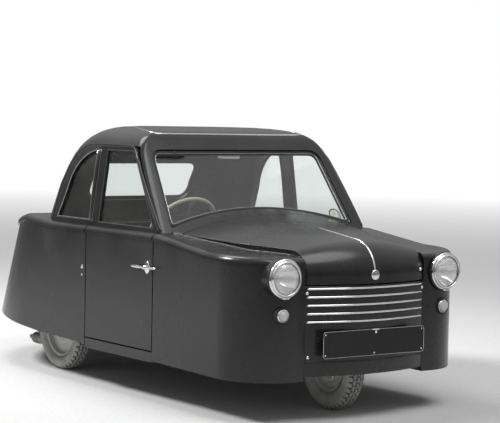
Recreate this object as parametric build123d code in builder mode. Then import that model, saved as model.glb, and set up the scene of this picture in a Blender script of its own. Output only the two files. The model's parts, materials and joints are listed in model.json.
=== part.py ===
"""Three-wheeled microcar saloon with a single steered front wheel and a rear engine.

Millimetres. Z is up, the nose points along -Y and the driver's side is -X.
The origin is on the ground at the middle of the overall length and width.
Distances given to at() run rearwards from the front wheel's centre line.
"""
from build123d import *
from math import asin, atan2, cos, degrees, radians, sin, tan
import os

os.makedirs("parts", exist_ok=True)

# Overall sizes
length = 3124
width = 1397
height = 1372
wheelbase = 1829
front_overhang = 312
rear_track = 930

# Body skin below the windows
shoulder_proud = 8.5
skin_half = width / 2 - shoulder_proud
skin_wall = 20
wing_face = -237
wing_corner_r = 263
tail_run = 926
tail_start = length - front_overhang - tail_run
tail_side_r = 1100
tail_rake = 0.40
tail_low_z = 300
form_low_z = 150
form_high_z = 950
shoulder_r = 30
shoulder_depth = 36
sill_z = 199

# Panel gaps
shut_gap = 7
lid_gap = 6
fixed_gap = 0.3
seam_gap = 3

# Doors
door_front = 590
door_rear = 1238
door_thickness = 40
door_edge_draft = 6
door_bottom_z = 262
belt_z = 848
door_frame_t = 24
door_frame_top_z = height - 106
frame_front = 4
frame_low_z = 842
frame_set_back = 8
frame_corner_r = 45
window_corner_r = 34

# Greenhouse
glass_t = 5
pillar_wall = 30
roof_wall = 20
window_top_z = height - 123
window_base_z = 866
door_glass_rear = 1176
quarter_glass_front = 1264
frame_front_w = 26
pillar_nose = 16
side_base_half = skin_half - 30
side_top_half = skin_half - 86
side_top_z = height - 116
pillar_corner_r = 34
screen_lean = 35
screen_base_y = 612
screen_base_z = 876
screen_low_half = skin_half - 121
screen_high_half = skin_half - 161
screen_rise = 99
screen_height = height - 926
screen_corner_r = 55
screen_glass_grow = -9
seal_w = 11
rear_window_base = (1858, 960)
rear_window_lean = 30.3
rear_window_half = skin_half - 350
rear_window_h = height - 1127
rear_window_r = 70

# Bonnet and nose
nose_bulge = 0.52
crown_drop = 0.35
nose_half = skin_half - 323
nose_r = 165
nose_edge_r = 111
nose_span = skin_half - 90
nose_face = -305
nose_top_z = 855
bonnet_wall = 12
bonnet_low_z = 650
grille_low_z = 288
valance_low_z = 219
bonnet_bend = 200
lid_rear = 514
scuttle_end = 640
scuttle_crown_share = 0.72
bonnet_side_gap = 6
liner = 12
firewall = 356
firewall_side_z = 800
firewall_edge_z = 812
firewall_top_z = 892
bonnet_bend_z = 898
scuttle_edge_half = skin_half - 107
scuttle_rear = 560
scuttle_top_z = 957
strip_z = (634, 594.5, 555, 515.5, 476)
strip_h = 10
strip_proud = 6
trim_half = 6
trim_rear = 157
boss_z = 694
boss_r = 25
plate_z = 367
plate_w = 2 * nose_half - 158
plate_h = 119
plate_r = 12

# Wheels
front_tyre_r = 205
front_tyre_w = 100
front_rim_r = 112
rear_tyre_r = 232
rear_tyre_w = 105
rear_rim_r = 158
bead_drop = 8
bead_share = 0.62
hub_r = 27
dish_x = 8
bolt_pcd = 102
bolt_count = 4
bolt_r = 6

# Lamps
lamp_x = skin_half - 193
headlamp_z = 689
headlamp_r = 94
headlamp_face = -262
sidelamp_z = 514
sidelamp_r = 34
tail_lamp_x = skin_half - 350
tail_lamp_z = 410
tail_lamp_r = 26
tail_lamp_rear = tail_start + 782

# Side hatches and tail lid
hatch_front = 1245
hatch_wall = 12
hatch_flange = 24
hatch_rear_low = 1990
hatch_rear_top = 1812
lid_half = skin_half - 310
tail_lid_front = tail_start + 154
tail_lid_low_z = 470

# Chassis and running gear
rail_x = 230
rail_w = 50
rail_h = 50
rail_low_z = 193
rear_rail_z = 300
rail_front = 316
rail_rear = 2440
kick_start = 1565
kick_end = 1690
crown_z = 428
headstock_r = 34
headstock_low_z = 480
headstock_top_z = 620
steerer_r = 18
fork_half = 66
fork_blade_t = 16
axle_r = 10
spring_half = 120
spring_eye = 34
spring_t = 18
silencer_x = -430
silencer_y = 2182
silencer_z = 128
silencer_r = 32
silencer_run = 212
rear_axle_r = 22
stub_r = 14

# Cabin
floor_top_z = 255
floor_t = 12
cabin_half = skin_half - 45
bulkhead_t = 12
rear_bulkhead = 1548
shelf_top_z = 804
shelf_end = 1960
seat_half = skin_half - 100
column_x = -320
column_rise = 35
steering_wheel_y = 890
steering_wheel_z = 850
steering_wheel_r = 190
dash_half = skin_half - 122
dash_low_z = 760
dash_edge_z = 852
dash_top_z = 950
dash_t = 18
dash_shelf = 120

# Shoulder line over the tail: distance behind the front wheel, height
deck_line = [(tail_start + 64, 870), (tail_start + 444, 812)]

front_axle_y = -length / 2 + front_overhang
rear_axle_y = front_axle_y + wheelbase


def at(distance):
    """Y of a point that lies so far behind the front wheel's centre line."""
    return front_axle_y + distance


def bonnet_edge(distance):
    """Half width of the bonnet and scuttle, straight at the nose and widening to the screen."""
    spread = (scuttle_edge_half - nose_half) / (scuttle_rear + 120)
    return nose_half + max(0, distance + 120) * spread


def plan_outline(half, inset, tail_shift):
    """Body outline from above: flat wing faces, round corners, straight sides, two-arc tail."""
    side = half - inset
    face = at(wing_face) + inset
    corner = wing_corner_r + (half - skin_half) - inset
    side_r = tail_side_r + (half - skin_half) - inset
    start = at(tail_start) - tail_shift
    end = length / 2 - inset - tail_shift
    run = end - start
    end_r = ((side - side_r) ** 2 + run**2 - side_r**2) / (2 * (run - side_r))
    turn = degrees(atan2(end - end_r - start, side_r - side))
    with BuildSketch() as outline:
        with BuildLine():
            Line((corner - side, face), (side - corner, face))
            CenterArc((side - corner, face + corner), corner, -90, 90)
            Line((side, face + corner), (side, start))
            CenterArc((side - side_r, start), side_r, 0, turn)
            CenterArc((0, end - end_r), end_r, turn, 180 - 2 * turn)
            CenterArc((side_r - side, start), side_r, 180 - turn, turn)
            Line((-side, start), (-side, face + corner))
            CenterArc((corner - side, face + corner), corner, 180, 90)
        make_face()
    return outline.sketch


def side_profile(top_drop, low_z):
    """Body outline from the side, between the sill line and the shoulder line."""
    # distance behind the front wheel, height of the shoulder line
    top = [(-420, 766), (-100, 787), (120, 794), (320, 818), (560, belt_z), (1620, belt_z),
           *deck_line, (tail_start + 754, 768), (tail_start + 1214, 700)]
    # distance behind the front wheel, height above the sill at the door
    low = [(tail_start + 1214, 115), (tail_start + 714, 95), (1750, 34), (-420, -6)]
    points = [(at(y), z - top_drop) for y, z in top] + [(at(y), low_z + z) for y, z in low]
    with BuildSketch() as outline:
        with BuildLine():
            Polyline(*points, close=True)
        make_face()
    return outline.sketch


def plan_region(points):
    """Closed region seen from above, from (x, distance behind the front wheel) pairs."""
    with BuildSketch() as region:
        with BuildLine():
            Polyline(*[(x, at(y)) for x, y in points], close=True)
        make_face()
    return region.sketch


def side_region(points):
    """Closed region seen from the side, from (distance behind the front wheel, z) pairs."""
    with BuildSketch() as region:
        with BuildLine():
            Polyline(*[(at(y), z) for y, z in points], close=True)
        make_face()
    return region.sketch


def export_one(part, name):
    """Write one piece."""
    part.label = name
    export_step(part, f"parts/{name}.step")


def export_pair(part, name):
    """Write the left piece and its mirror image on the right."""
    export_one(part, f"{name}_left")
    export_one(mirror(part, about=Plane.YZ), f"{name}_right")


def both_sides(part):
    """The left piece together with its mirror image on the right."""
    return Part(children=[part, mirror(part, about=Plane.YZ)])


# Forms of the body below the windows, which the panels are cut from
with BuildPart() as recess_form:
    for z in (form_low_z, form_high_z):
        with BuildSketch(Plane.XY.offset(z)):
            shift = tail_rake * (z - tail_low_z) - shoulder_proud
            add(plan_outline(width / 2 + shoulder_r, -shoulder_r, shift))
    loft(ruled=True)
    with BuildSketch(Plane.YZ):
        add(side_profile(shoulder_depth, -2 * sill_z))
    extrude(amount=width, both=True, mode=Mode.INTERSECT)

with BuildPart() as skin_form:
    for z in (form_low_z, form_high_z):
        with BuildSketch(Plane.XY.offset(z)):
            add(plan_outline(skin_half, 0, tail_rake * (z - tail_low_z)))
    loft(ruled=True)

with BuildPart() as body_form:
    for z in (form_low_z, form_high_z):
        with BuildSketch(Plane.XY.offset(z)):
            add(plan_outline(width / 2, 0, tail_rake * (z - tail_low_z) - shoulder_proud))
    loft(ruled=True)
    with BuildSketch(Plane.YZ):
        add(side_profile(0, sill_z))
    extrude(amount=width, both=True, mode=Mode.INTERSECT)
    rim = body_form.edges().filter_by(lambda e: e.center().Z > 700)
    rim = rim.filter_by(lambda e: abs(e.center().X) > 50 or abs(e.center().Y) > length * 0.43)
    fillet(rim, shoulder_r)
    add(recess_form.part - skin_form.part, mode=Mode.SUBTRACT)

with BuildPart() as cavity_form:
    for z in (form_low_z - 50, form_high_z):
        with BuildSketch(Plane.XY.offset(z)):
            add(plan_outline(skin_half, skin_wall, tail_rake * (z - tail_low_z)))
    loft(ruled=True)
    with BuildSketch(Plane.YZ):
        add(side_profile(skin_wall, -2 * sill_z))
    extrude(amount=width, both=True, mode=Mode.INTERSECT)


screen_slope = tan(radians(screen_lean))


def screen_at(z):
    """Distance behind the front wheel of the windscreen's plane at height z."""
    return screen_base_y + (z - screen_base_z) * screen_slope


# Front wings: outer shell with a liner wall beside the wheel space and a lamp seat
wing_rear = door_front - shut_gap
with BuildPart() as front_wing:
    add(body_form.part)
    with BuildSketch(Plane.XY.offset(form_low_z)):
        add(plan_region([(nose_half, -500), (nose_half, -120), (bonnet_edge(wing_rear), wing_rear),
                         (width, wing_rear), (width, -500)]))
    extrude(amount=height, mode=Mode.INTERSECT)
    with BuildSketch(Plane.XZ.offset(-at(wing_face) + 10)):
        with Locations((lamp_x, headlamp_z)):
            Circle(headlamp_r - 2)
    extrude(amount=-80)
    with BuildSketch(Plane.XY.offset(form_low_z - 50)):
        add(plan_region([(nose_half + liner, -500), (nose_half + liner, -120),
                         (bonnet_edge(firewall) + liner, firewall), (bonnet_edge(firewall) - 60, firewall),
                         (bonnet_edge(firewall) - 60, wing_rear - skin_wall),
                         (width, wing_rear - skin_wall), (width, -500)]))
    pocket = extrude(amount=height, mode=Mode.PRIVATE)
    add(pocket & cavity_form.part, mode=Mode.SUBTRACT)
    with Locations(Plane.XZ.offset(-at(wing_face) - 60)):
        with Locations((lamp_x, headlamp_z)):
            Hole(headlamp_r - 14)
export_pair(front_wing.part, "front_wing")


def nose_section(x, wall, low, rear):
    """Side section of the nose and bonnet skin at x, set in from the outer skin by wall."""
    spread = (x / nose_half) ** 2
    face = at(nose_face) + nose_bulge * x**2 / 1000 + wall
    drop = crown_drop * x**2 / 1000 + wall
    r = nose_r - spread * (nose_r - nose_edge_r) - wall
    with BuildSketch() as section:
        with BuildLine():
            Line((face, low), (face, nose_top_z - drop - r))
            bend = CenterArc((face + r, nose_top_z - drop - r), r, 180, -84)
            rear_drop = crown_drop * scuttle_crown_share * x**2 / 1000 + wall
            Polyline(bend @ 1, (at(bonnet_bend), bonnet_bend_z - drop),
                     (at(rear), scuttle_top_z - rear_drop), (at(rear), low), (face, low))
        make_face()
    return section.sketch


def nose_skin(wall):
    """Solid under the bonnet and nose skin, set in by wall."""
    with BuildPart() as form:
        for x in (-nose_span, 0, nose_span):
            with BuildSketch(Plane.YZ.offset(x)):
                add(nose_section(x, wall, form_low_z - wall, scuttle_end))
        loft()
    return form.part


nose_outer = nose_skin(0)
nose_inner = nose_skin(bonnet_wall)


def bonnet_region(front, rear, gap):
    """Plan region between the wings, as wide as the bonnet and scuttle less a gap on each side."""
    half = [(bonnet_edge(d) - gap, d) for d in (front, -120, rear) if front <= d <= rear]
    return plan_region(half + [(-x, d) for x, d in reversed(half)])


# Bonnet lid from the nose to the scuttle, hinged at its rear and held by a lock at each front corner
with BuildPart() as bonnet:
    add(nose_outer)
    add(nose_inner, mode=Mode.SUBTRACT)
    with BuildSketch(Plane.XY.offset(bonnet_low_z + seam_gap)):
        add(bonnet_region(-500, lid_rear - lid_gap, bonnet_side_gap))
    extrude(amount=height, mode=Mode.INTERSECT)
export_one(bonnet.part, "bonnet")

# Grille panel and valance below the bonnet
panels = []
for low, high in ((grille_low_z, bonnet_low_z - seam_gap), (valance_low_z, grille_low_z - seam_gap)):
    with BuildPart() as panel:
        add(nose_outer)
        add(nose_inner, mode=Mode.SUBTRACT)
        with BuildSketch(Plane.XY.offset(low)):
            add(bonnet_region(-500, -150, fixed_gap))
        extrude(amount=high - low, mode=Mode.INTERSECT)
    panels.append(panel.part)
export_one(Part(children=panels), "nose_panels")

# Five bright strips across the grille panel
nose_strips = nose_skin(-strip_proud)
with BuildPart() as grille_strips:
    add(nose_strips)
    add(nose_outer, mode=Mode.SUBTRACT)
    with BuildSketch(Plane.XZ.offset(-at(-100))):
        with Locations(*[(0, z) for z in strip_z]):
            Rectangle(2 * (nose_half - 12), strip_h)
    extrude(amount=500, mode=Mode.INTERSECT)
export_one(grille_strips.part, "grille_strips")

# Scuttle between the bonnet and the windscreen
with BuildPart() as scuttle:
    add(nose_outer)
    add(nose_inner, mode=Mode.SUBTRACT)
    with BuildSketch(Plane.XY.offset(form_low_z)):
        rear_half = bonnet_edge(scuttle_rear) - fixed_gap
        front_half = bonnet_edge(lid_rear) - fixed_gap
        add(plan_region([(front_half, lid_rear), (rear_half, scuttle_rear), (rear_half, scuttle_end),
                         (-rear_half, scuttle_end), (-rear_half, scuttle_rear), (-front_half, lid_rear)]))
    extrude(amount=height, mode=Mode.INTERSECT)
export_one(scuttle.part, "scuttle")

# Doors: hollow lower half with the shoulder moulding, framed window above
side_tilt = degrees(atan2(side_base_half - side_top_half, side_top_z - belt_z))
side_plane = Plane(origin=(side_base_half, 0, belt_z), x_dir=(0, 1, 0),
                   z_dir=(cos(radians(side_tilt)), 0, sin(radians(side_tilt))))


def on_side(z):
    """Distance up the sloping window side from the belt to height z."""
    return (z - belt_z) / cos(radians(side_tilt))


def side_window(points, corner_r):
    """Outline on the window side from (distance behind the front wheel, z), top front corner rounded."""
    with BuildSketch() as window:
        with BuildLine():
            Polyline(*[(at(y), on_side(z)) for y, z in points], close=True)
        make_face()
        fillet(window.vertices().group_by(Axis.Y)[-1].sort_by(Axis.X)[0], corner_r)
    return window.sketch


frame_outline = [(screen_at(frame_low_z) + frame_front, frame_low_z), (door_rear, frame_low_z),
                 (door_rear, door_frame_top_z),
                 (screen_at(door_frame_top_z) + frame_front + frame_set_back, door_frame_top_z)]
glass_outline = [(screen_at(window_base_z) + frame_front + frame_front_w, window_base_z),
                 (door_glass_rear, window_base_z), (door_glass_rear, window_top_z),
                 (screen_at(window_top_z) + frame_front + frame_front_w + frame_set_back, window_top_z)]
with BuildPart() as door:
    with BuildSketch(Plane.XZ.offset(-at(door_rear))):
        with BuildLine():
            ledge = belt_z - shoulder_depth
            Line((skin_half, door_bottom_z), (skin_half, ledge))
            Line((skin_half, ledge), (width / 2, ledge))
            Line((width / 2, ledge), (width / 2, belt_z - shoulder_r))
            RadiusArc((width / 2, belt_z - shoulder_r), (width / 2 - shoulder_r, belt_z), -shoulder_r)
            Polyline((width / 2 - shoulder_r, belt_z), (skin_half - door_thickness, belt_z),
                     (skin_half - door_thickness, door_bottom_z), (skin_half, door_bottom_z))
        make_face()
    extrude(amount=door_rear - door_front)
    with BuildSketch(Plane.XY.offset(form_low_z)):
        add(plan_region([(skin_half, door_front - 1), (skin_half, door_front),
                         (skin_half - door_thickness - 1, door_front + door_edge_draft),
                         (skin_half - door_thickness - 1, door_front - 1)]))
    extrude(amount=height, mode=Mode.SUBTRACT)
    with BuildSketch(side_plane):
        add(side_window(frame_outline, frame_corner_r))
        add(side_window(glass_outline, window_corner_r), mode=Mode.SUBTRACT)
    extrude(amount=-door_frame_t)
export_pair(door.part, "door")


# Roof, pillars and window surrounds as one pressing, from level sections
def house_section(half, front, rear, front_r, rear_r):
    """Rounded outline of the window storey at one level, by distances behind the front wheel."""
    with BuildSketch() as section:
        with BuildLine():
            Line((0, at(front)), (half - front_r, at(front)))
            CenterArc((half - front_r, at(front) + front_r), front_r, -90, 90)
            Line((half, at(front) + front_r), (half, at(rear) - rear_r))
            CenterArc((half - rear_r, at(rear) - rear_r), rear_r, 0, 90)
            Line((half - rear_r, at(rear)), (0, at(rear)))
            mirror(about=Plane.YZ)
        make_face()
    return section.sketch


# drop below the top, set in from the skin, front behind the windscreen's plane, rear, rear corner radius
house_levels = [
    (height - belt_z + 18, 28, -pillar_nose, 1914, 300),
    (322, 53, -pillar_nose, 1822, 290),
    (222, 66, -pillar_nose, 1757, 284),
    (157, 78, -pillar_nose, 1705, 278),
    (117, 91, -pillar_nose, 1667, 272),
    (87, 108, -pillar_nose, 1635, 266),
    (64, 129, -pillar_nose, 1610, 260),
    (47, 153, -pillar_nose + 2, 1590, 252),
    (34, 178, -pillar_nose + 8, 1573, 243),
    (22, 210, 12, 1554, 230),
    (12, 249, 50, 1530, 212),
    (4, 302, 105, 1492, 185),
    (0, 380, 190, 1430, 140),
]


def house_form(inset, drop):
    """Window storey and roof, its sides set in by inset and its top lowered by drop."""
    with BuildPart() as form:
        for below, set_in, front, rear, rear_r in house_levels:
            z = height - below - drop
            with BuildSketch(Plane.XY.offset(z)):
                add(house_section(skin_half - set_in - inset, screen_at(z) + front + inset * 1.2,
                                  rear - inset, pillar_corner_r, rear_r - inset))
        loft(ruled=True)
    return form.part


house_outer = house_form(0, 0)
house_inner = house_form(pillar_wall, roof_wall)

screen_plane = Plane(origin=(0, at(screen_base_y), screen_base_z), x_dir=(1, 0, 0),
                     z_dir=(0, -cos(radians(screen_lean)), sin(radians(screen_lean))))


def screen_outline(grow):
    """Windscreen outline on its own plane, grown outwards by grow."""
    with BuildSketch() as outline:
        with BuildLine():
            ThreePointArc((-screen_low_half, 0), (0, screen_rise), (screen_low_half, 0))
            Polyline((screen_low_half, 0), (screen_high_half, screen_height),
                     (-screen_high_half, screen_height), (-screen_low_half, 0))
        make_face()
        fillet(outline.vertices().group_by(Axis.Y)[-1], screen_corner_r)
        if grow:
            offset(amount=grow)
    return outline.sketch


# Rear window on its own sloping plane
rear_window_plane = Plane(origin=(0, at(rear_window_base[0]), rear_window_base[1]), x_dir=(-1, 0, 0),
                          z_dir=(0, cos(radians(rear_window_lean)), sin(radians(rear_window_lean))))


def quarter_outline(inset):
    """Quarter window from the side: upright front edge, arched top and sloping rear edge."""
    front = quarter_glass_front
    with BuildSketch() as outline:
        with BuildLine():
            Polyline((at(1300), window_top_z), (at(front + 18), window_top_z),
                     (at(front), window_top_z - 22), (at(front), window_base_z + 4),
                     (at(1616), window_base_z + 4), (at(1537), window_top_z - 217))
            ThreePointArc((at(1537), window_top_z - 217), (at(1432), window_top_z - 59),
                          (at(1300), window_top_z))
        make_face()
        if inset:
            offset(amount=-inset, kind=Kind.INTERSECTION)
    return outline.sketch


belt_line = [(y, z + fixed_gap) for y, z in reversed(deck_line)]
belt_line += [(1620, belt_z + fixed_gap), (400, belt_z + fixed_gap)]
door_clear_low = frame_low_z - 60
door_clear_top = door_frame_top_z + lid_gap
door_clearance = [(screen_at(door_clear_low) + frame_front - lid_gap, door_clear_low),
                  (door_rear + lid_gap, door_clear_low), (door_rear + lid_gap, door_clear_top),
                  (screen_at(door_clear_top) + frame_front - lid_gap, door_clear_top)]
with BuildPart() as roof:
    add(house_outer)
    add(house_inner, mode=Mode.SUBTRACT)
    with BuildSketch(Plane.YZ):
        add(side_region(door_clearance))
        add(quarter_outline(0))
    extrude(amount=width, both=True, mode=Mode.SUBTRACT)
    with BuildSketch(screen_plane.offset(60)):
        add(screen_outline(seal_w))
    extrude(amount=-160, mode=Mode.SUBTRACT)
    with BuildSketch(rear_window_plane.offset(120)):
        with Locations((0, rear_window_h / 2)):
            RectangleRounded(2 * rear_window_half, rear_window_h, rear_window_r)
    extrude(amount=-260, mode=Mode.SUBTRACT)
    with BuildSketch(Plane.YZ):
        above = height + 128
        deck_end = (tail_start + 514, deck_line[-1][1] + fixed_gap)
        add(side_region([(400, above), (tail_start + 514, above), deck_end] + belt_line))
    extrude(amount=width, both=True, mode=Mode.INTERSECT)
    add(scuttle.part, mode=Mode.SUBTRACT)
roof_shell = Part() + roof.solids().sort_by(SortBy.VOLUME)[-1]
export_one(roof_shell, "roof")

# Windscreen, its rubber and the fixed side and rear glass
with BuildPart() as windscreen:
    with BuildSketch(screen_plane):
        add(screen_outline(screen_glass_grow - fixed_gap))
    extrude(amount=-glass_t)
export_one(windscreen.part, "windscreen")
with BuildPart() as windscreen_seal:
    with BuildSketch(screen_plane.offset(4)):
        add(screen_outline(seal_w - fixed_gap))
        add(screen_outline(screen_glass_grow), mode=Mode.SUBTRACT)
    extrude(amount=-14)
    add(scuttle.part, mode=Mode.SUBTRACT)
seal_ring = Part() + windscreen_seal.solids().sort_by(SortBy.VOLUME)[-1]
export_one(seal_ring, "windscreen_seal")
with BuildPart() as rear_window:
    with BuildSketch(rear_window_plane.offset(-10)):
        with Locations((0, rear_window_h / 2)):
            RectangleRounded(2 * (rear_window_half - fixed_gap), rear_window_h - 2 * fixed_gap,
                             rear_window_r - fixed_gap)
    extrude(amount=-glass_t)
export_one(rear_window.part, "rear_window")
glass_skin = house_form(12, 8) - house_form(12 + glass_t, 8 + glass_t)
with BuildPart() as quarter_glass:
    add(glass_skin)
    with BuildSketch(Plane.YZ):
        add(quarter_outline(0.5))
    extrude(amount=width, mode=Mode.INTERSECT)
export_one(both_sides(quarter_glass.part), "quarter_glass")
with BuildPart() as door_glass:
    with BuildSketch(side_plane.offset(-(door_frame_t - glass_t) / 2)):
        with BuildSketch(mode=Mode.PRIVATE) as opening:
            add(side_window(glass_outline, window_corner_r))
            offset(amount=-fixed_gap, kind=Kind.INTERSECTION)
        add(opening.sketch)
    extrude(amount=-glass_t)
export_pair(door_glass.part, "door_glass")

# Side hatches over the rear wheels, lifted off for access
hatch_slope = (hatch_rear_low - hatch_rear_top) / (belt_z - sill_z)


def hatch_outline(inset, step):
    """Side outline of the hatch below the shoulder, its front and rear edges set in by inset."""
    top = belt_z - shoulder_depth - 1 - step
    front = hatch_front + inset
    return side_region([(front, 100), (hatch_rear_low - inset, 100), (hatch_rear_low - inset, sill_z),
                        (hatch_rear_low - inset - hatch_slope * (top - sill_z), top), (front, top)])


with BuildPart() as hatch_inner:
    for z in (form_low_z - 60, form_high_z):
        with BuildSketch(Plane.XY.offset(z)):
            add(plan_outline(skin_half, hatch_wall, tail_rake * (z - tail_low_z)))
    loft(ruled=True)
with BuildPart() as side_hatch:
    add(body_form.part)
    add(hatch_inner.part, mode=Mode.SUBTRACT)
    with BuildSketch(Plane.YZ):
        add(hatch_outline(fixed_gap, 0))
    extrude(amount=width, mode=Mode.INTERSECT)
export_one(both_sides(side_hatch.part), "side_hatches")

# Rear body: shoulders, deck and tail, open to the cabin, the hatches and the tail lid
tail_end = tail_start + 1414
with BuildPart() as rear_body:
    add(body_form.part)
    add(cavity_form.part, mode=Mode.SUBTRACT)
    with BuildSketch(Plane.YZ):
        add(side_region([(hatch_front, 100), (hatch_front, 1000), (tail_end, 1000), (tail_end, 100)]))
    extrude(amount=width, both=True, mode=Mode.INTERSECT)
    with BuildSketch(Plane.YZ):
        add(hatch_outline(hatch_flange, hatch_flange))
    extrude(amount=width, both=True, mode=Mode.SUBTRACT)
    with BuildSketch(Plane.YZ):
        add(hatch_outline(0, -0.5))
    rebate = extrude(amount=width, both=True, mode=Mode.PRIVATE)
    add(rebate - hatch_inner.part, mode=Mode.SUBTRACT)
    with BuildSketch(Plane.XY.offset(belt_z - 150)):
        add(house_section(612, 900, 1860, 10, 265))
    extrude(amount=height, mode=Mode.SUBTRACT)
    with BuildSketch(Plane.XY.offset(tail_lid_low_z)):
        add(plan_region([(lid_half, tail_lid_front), (lid_half, tail_end), (-lid_half, tail_end),
                         (-lid_half, tail_lid_front)]))
    extrude(amount=height, mode=Mode.SUBTRACT)
export_one(rear_body.part, "rear_body")

with BuildPart() as tail_lid:
    add(body_form.part)
    add(cavity_form.part, mode=Mode.SUBTRACT)
    with BuildSketch(Plane.XY.offset(tail_lid_low_z + lid_gap)):
        half = lid_half - lid_gap
        front = tail_lid_front + lid_gap
        add(plan_region([(half, front), (half, tail_end), (-half, tail_end), (-half, front)]))
    extrude(amount=height, mode=Mode.INTERSECT)
export_one(tail_lid.part, "tail_lid")

# Sills under the doors
with BuildPart() as sill:
    with BuildSketch(Plane.XY.offset(sill_z + 4)):
        add(plan_region([(skin_half - 2, wing_rear + fixed_gap), (skin_half - 2, hatch_front - fixed_gap),
                         (cabin_half + fixed_gap, hatch_front - fixed_gap),
                         (cabin_half + fixed_gap, wing_rear + fixed_gap)]))
    extrude(amount=floor_top_z - sill_z - 4)
export_one(both_sides(sill.part), "sills")

# Floor, front bulkhead and rear bulkhead with its shelf
wing_inside = skin_half - skin_wall - fixed_gap
with BuildPart() as floor_pan:
    with BuildSketch(Plane.XY.offset(floor_top_z - floor_t)):
        post_x = bonnet_edge(wing_rear - skin_wall) - 4
        front = firewall + bulkhead_t + fixed_gap
        post_front = wing_rear - skin_wall - fixed_gap
        half_floor = [(0, front), (wing_inside, front), (wing_inside, post_front), (post_x, post_front),
                      (post_x, wing_rear + fixed_gap), (cabin_half, wing_rear + fixed_gap),
                      (cabin_half, rear_bulkhead), (0, rear_bulkhead)]
        add(plan_region(half_floor))
        mirror(about=Plane.YZ)
    extrude(amount=floor_t)
export_one(floor_pan.part, "floor_pan")

with BuildPart() as front_bulkhead:
    with BuildSketch(Plane.XZ.offset(-at(firewall))):
        with BuildLine():
            edge_x = bonnet_edge(firewall) - bonnet_side_gap
            half = [(wing_inside, floor_top_z - floor_t), (wing_inside, firewall_side_z),
                    (edge_x, firewall_side_z), (edge_x, firewall_edge_z)]
            Polyline(*[(-x, z) for x, z in reversed(half)], *half)
            ThreePointArc((edge_x, firewall_edge_z), (0, firewall_top_z), (-edge_x, firewall_edge_z))
        make_face()
    extrude(amount=-bulkhead_t)
export_one(front_bulkhead.part, "front_bulkhead")

with BuildPart() as rear_wall:
    with BuildSketch(Plane.YZ):
        low = floor_top_z - floor_t
        shelf_low = shelf_top_z - bulkhead_t
        wall_rear = rear_bulkhead + bulkhead_t
        add(side_region([(rear_bulkhead, low), (wall_rear, low), (wall_rear, shelf_low),
                         (shelf_end, shelf_low), (shelf_end, shelf_top_z), (rear_bulkhead, shelf_top_z)]))
    extrude(amount=wing_inside, both=True)
    with BuildSketch(Plane.XY):
        add(plan_outline(skin_half, skin_wall + fixed_gap, tail_rake * (shelf_top_z - tail_low_z)))
    extrude(amount=height, mode=Mode.INTERSECT)
export_one(rear_wall.part, "rear_bulkhead")

# Dashboard hung from the scuttle
with BuildPart() as dashboard:
    with BuildSketch(Plane.XZ.offset(-at(scuttle_rear))):
        with BuildLine():
            Polyline((-dash_half, dash_edge_z), (-dash_half, dash_low_z), (dash_half, dash_low_z),
                     (dash_half, dash_edge_z))
            ThreePointArc((dash_half, dash_edge_z), (0, dash_top_z), (-dash_half, dash_edge_z))
        make_face()
    extrude(amount=-dash_t)
    with BuildSketch(Plane.YZ):
        front = scuttle_rear - dash_shelf
        add(side_region([(front, dash_low_z), (scuttle_rear, dash_low_z),
                         (scuttle_rear, dash_low_z + bonnet_wall), (front, dash_low_z + bonnet_wall)]))
    extrude(amount=dash_half - 60, both=True)
    add(scuttle.part, mode=Mode.SUBTRACT)
    add(roof.part, mode=Mode.SUBTRACT)
dash_solid = dashboard.solids().sort_by(SortBy.VOLUME)[-1]
export_one(Part() + dash_solid, "dashboard")

# Seat
with BuildPart() as seat_base:
    with BuildSketch(Plane.YZ):
        add(side_region([(990, floor_top_z), (1430, floor_top_z), (1430, 350), (990, 380)]))
        add(side_region([(1010, floor_top_z - 1), (1410, floor_top_z - 1), (1410, 335), (1010, 362)]),
            mode=Mode.SUBTRACT)
    extrude(amount=seat_half - 20, both=True)
export_one(seat_base.part, "seat_base")
with BuildPart() as seat_cushion:
    with BuildSketch(Plane.YZ):
        add(side_region([(960, 382.1), (990, 380), (1430, 350), (1440, 349.4), (1450, 470), (970, 500)]))
    extrude(amount=seat_half, both=True)
export_one(seat_cushion.part, "seat_cushion")
with BuildPart() as seat_back:
    with BuildSketch(Plane.YZ):
        add(side_region([(1382, 475.6), (1452, 471), (1540, 870), (1450, 880)]))
    extrude(amount=seat_half, both=True)
export_one(seat_back.part, "seat_back")

# Chassis: two rails kicked up over the rear axle, cross members and the front headstock
with BuildPart() as chassis:
    with BuildSketch(Plane.YZ.offset(rail_x - rail_w / 2)):
        add(side_region([(rail_front, rail_low_z), (kick_start + 17, rail_low_z),
                         (kick_end + 17, rear_rail_z), (rail_rear, rear_rail_z),
                         (rail_rear, rear_rail_z + rail_h),
                         (kick_end, rear_rail_z + rail_h), (kick_start, rail_low_z + rail_h),
                         (rail_front, rail_low_z + rail_h)]))
    extrude(amount=rail_w)
    mirror(about=Plane.YZ)
    # front face behind the front wheel, length, lower face
    for start, run, low in ((rail_front, 36, rail_low_z), (1000, 40, rail_low_z), (1490, 40, rail_low_z),
                            (2120, 36, rear_rail_z), (2380, 36, rear_rail_z)):
        with Locations((0, at(start + run / 2), low + rail_h / 2)):
            Box(2 * rail_x, run, rail_h)
    with Locations((0, at(rail_front + 18), (rail_low_z + headstock_top_z) / 2)):
        Box(130, 36, headstock_top_z - rail_low_z)
    neck_low_z = headstock_low_z + 20
    with Locations((0, at(rail_front / 2 + 10), (neck_low_z + headstock_top_z - 10) / 2)):
        Box(56, rail_front - 10, headstock_top_z - 10 - neck_low_z)
    with Locations((0, at(0), (headstock_low_z + headstock_top_z) / 2)):
        Cylinder(headstock_r, headstock_top_z - headstock_low_z)
        Cylinder(steerer_r + fixed_gap, headstock_top_z - headstock_low_z, mode=Mode.SUBTRACT)
export_one(chassis.part, "chassis_frame")

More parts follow.
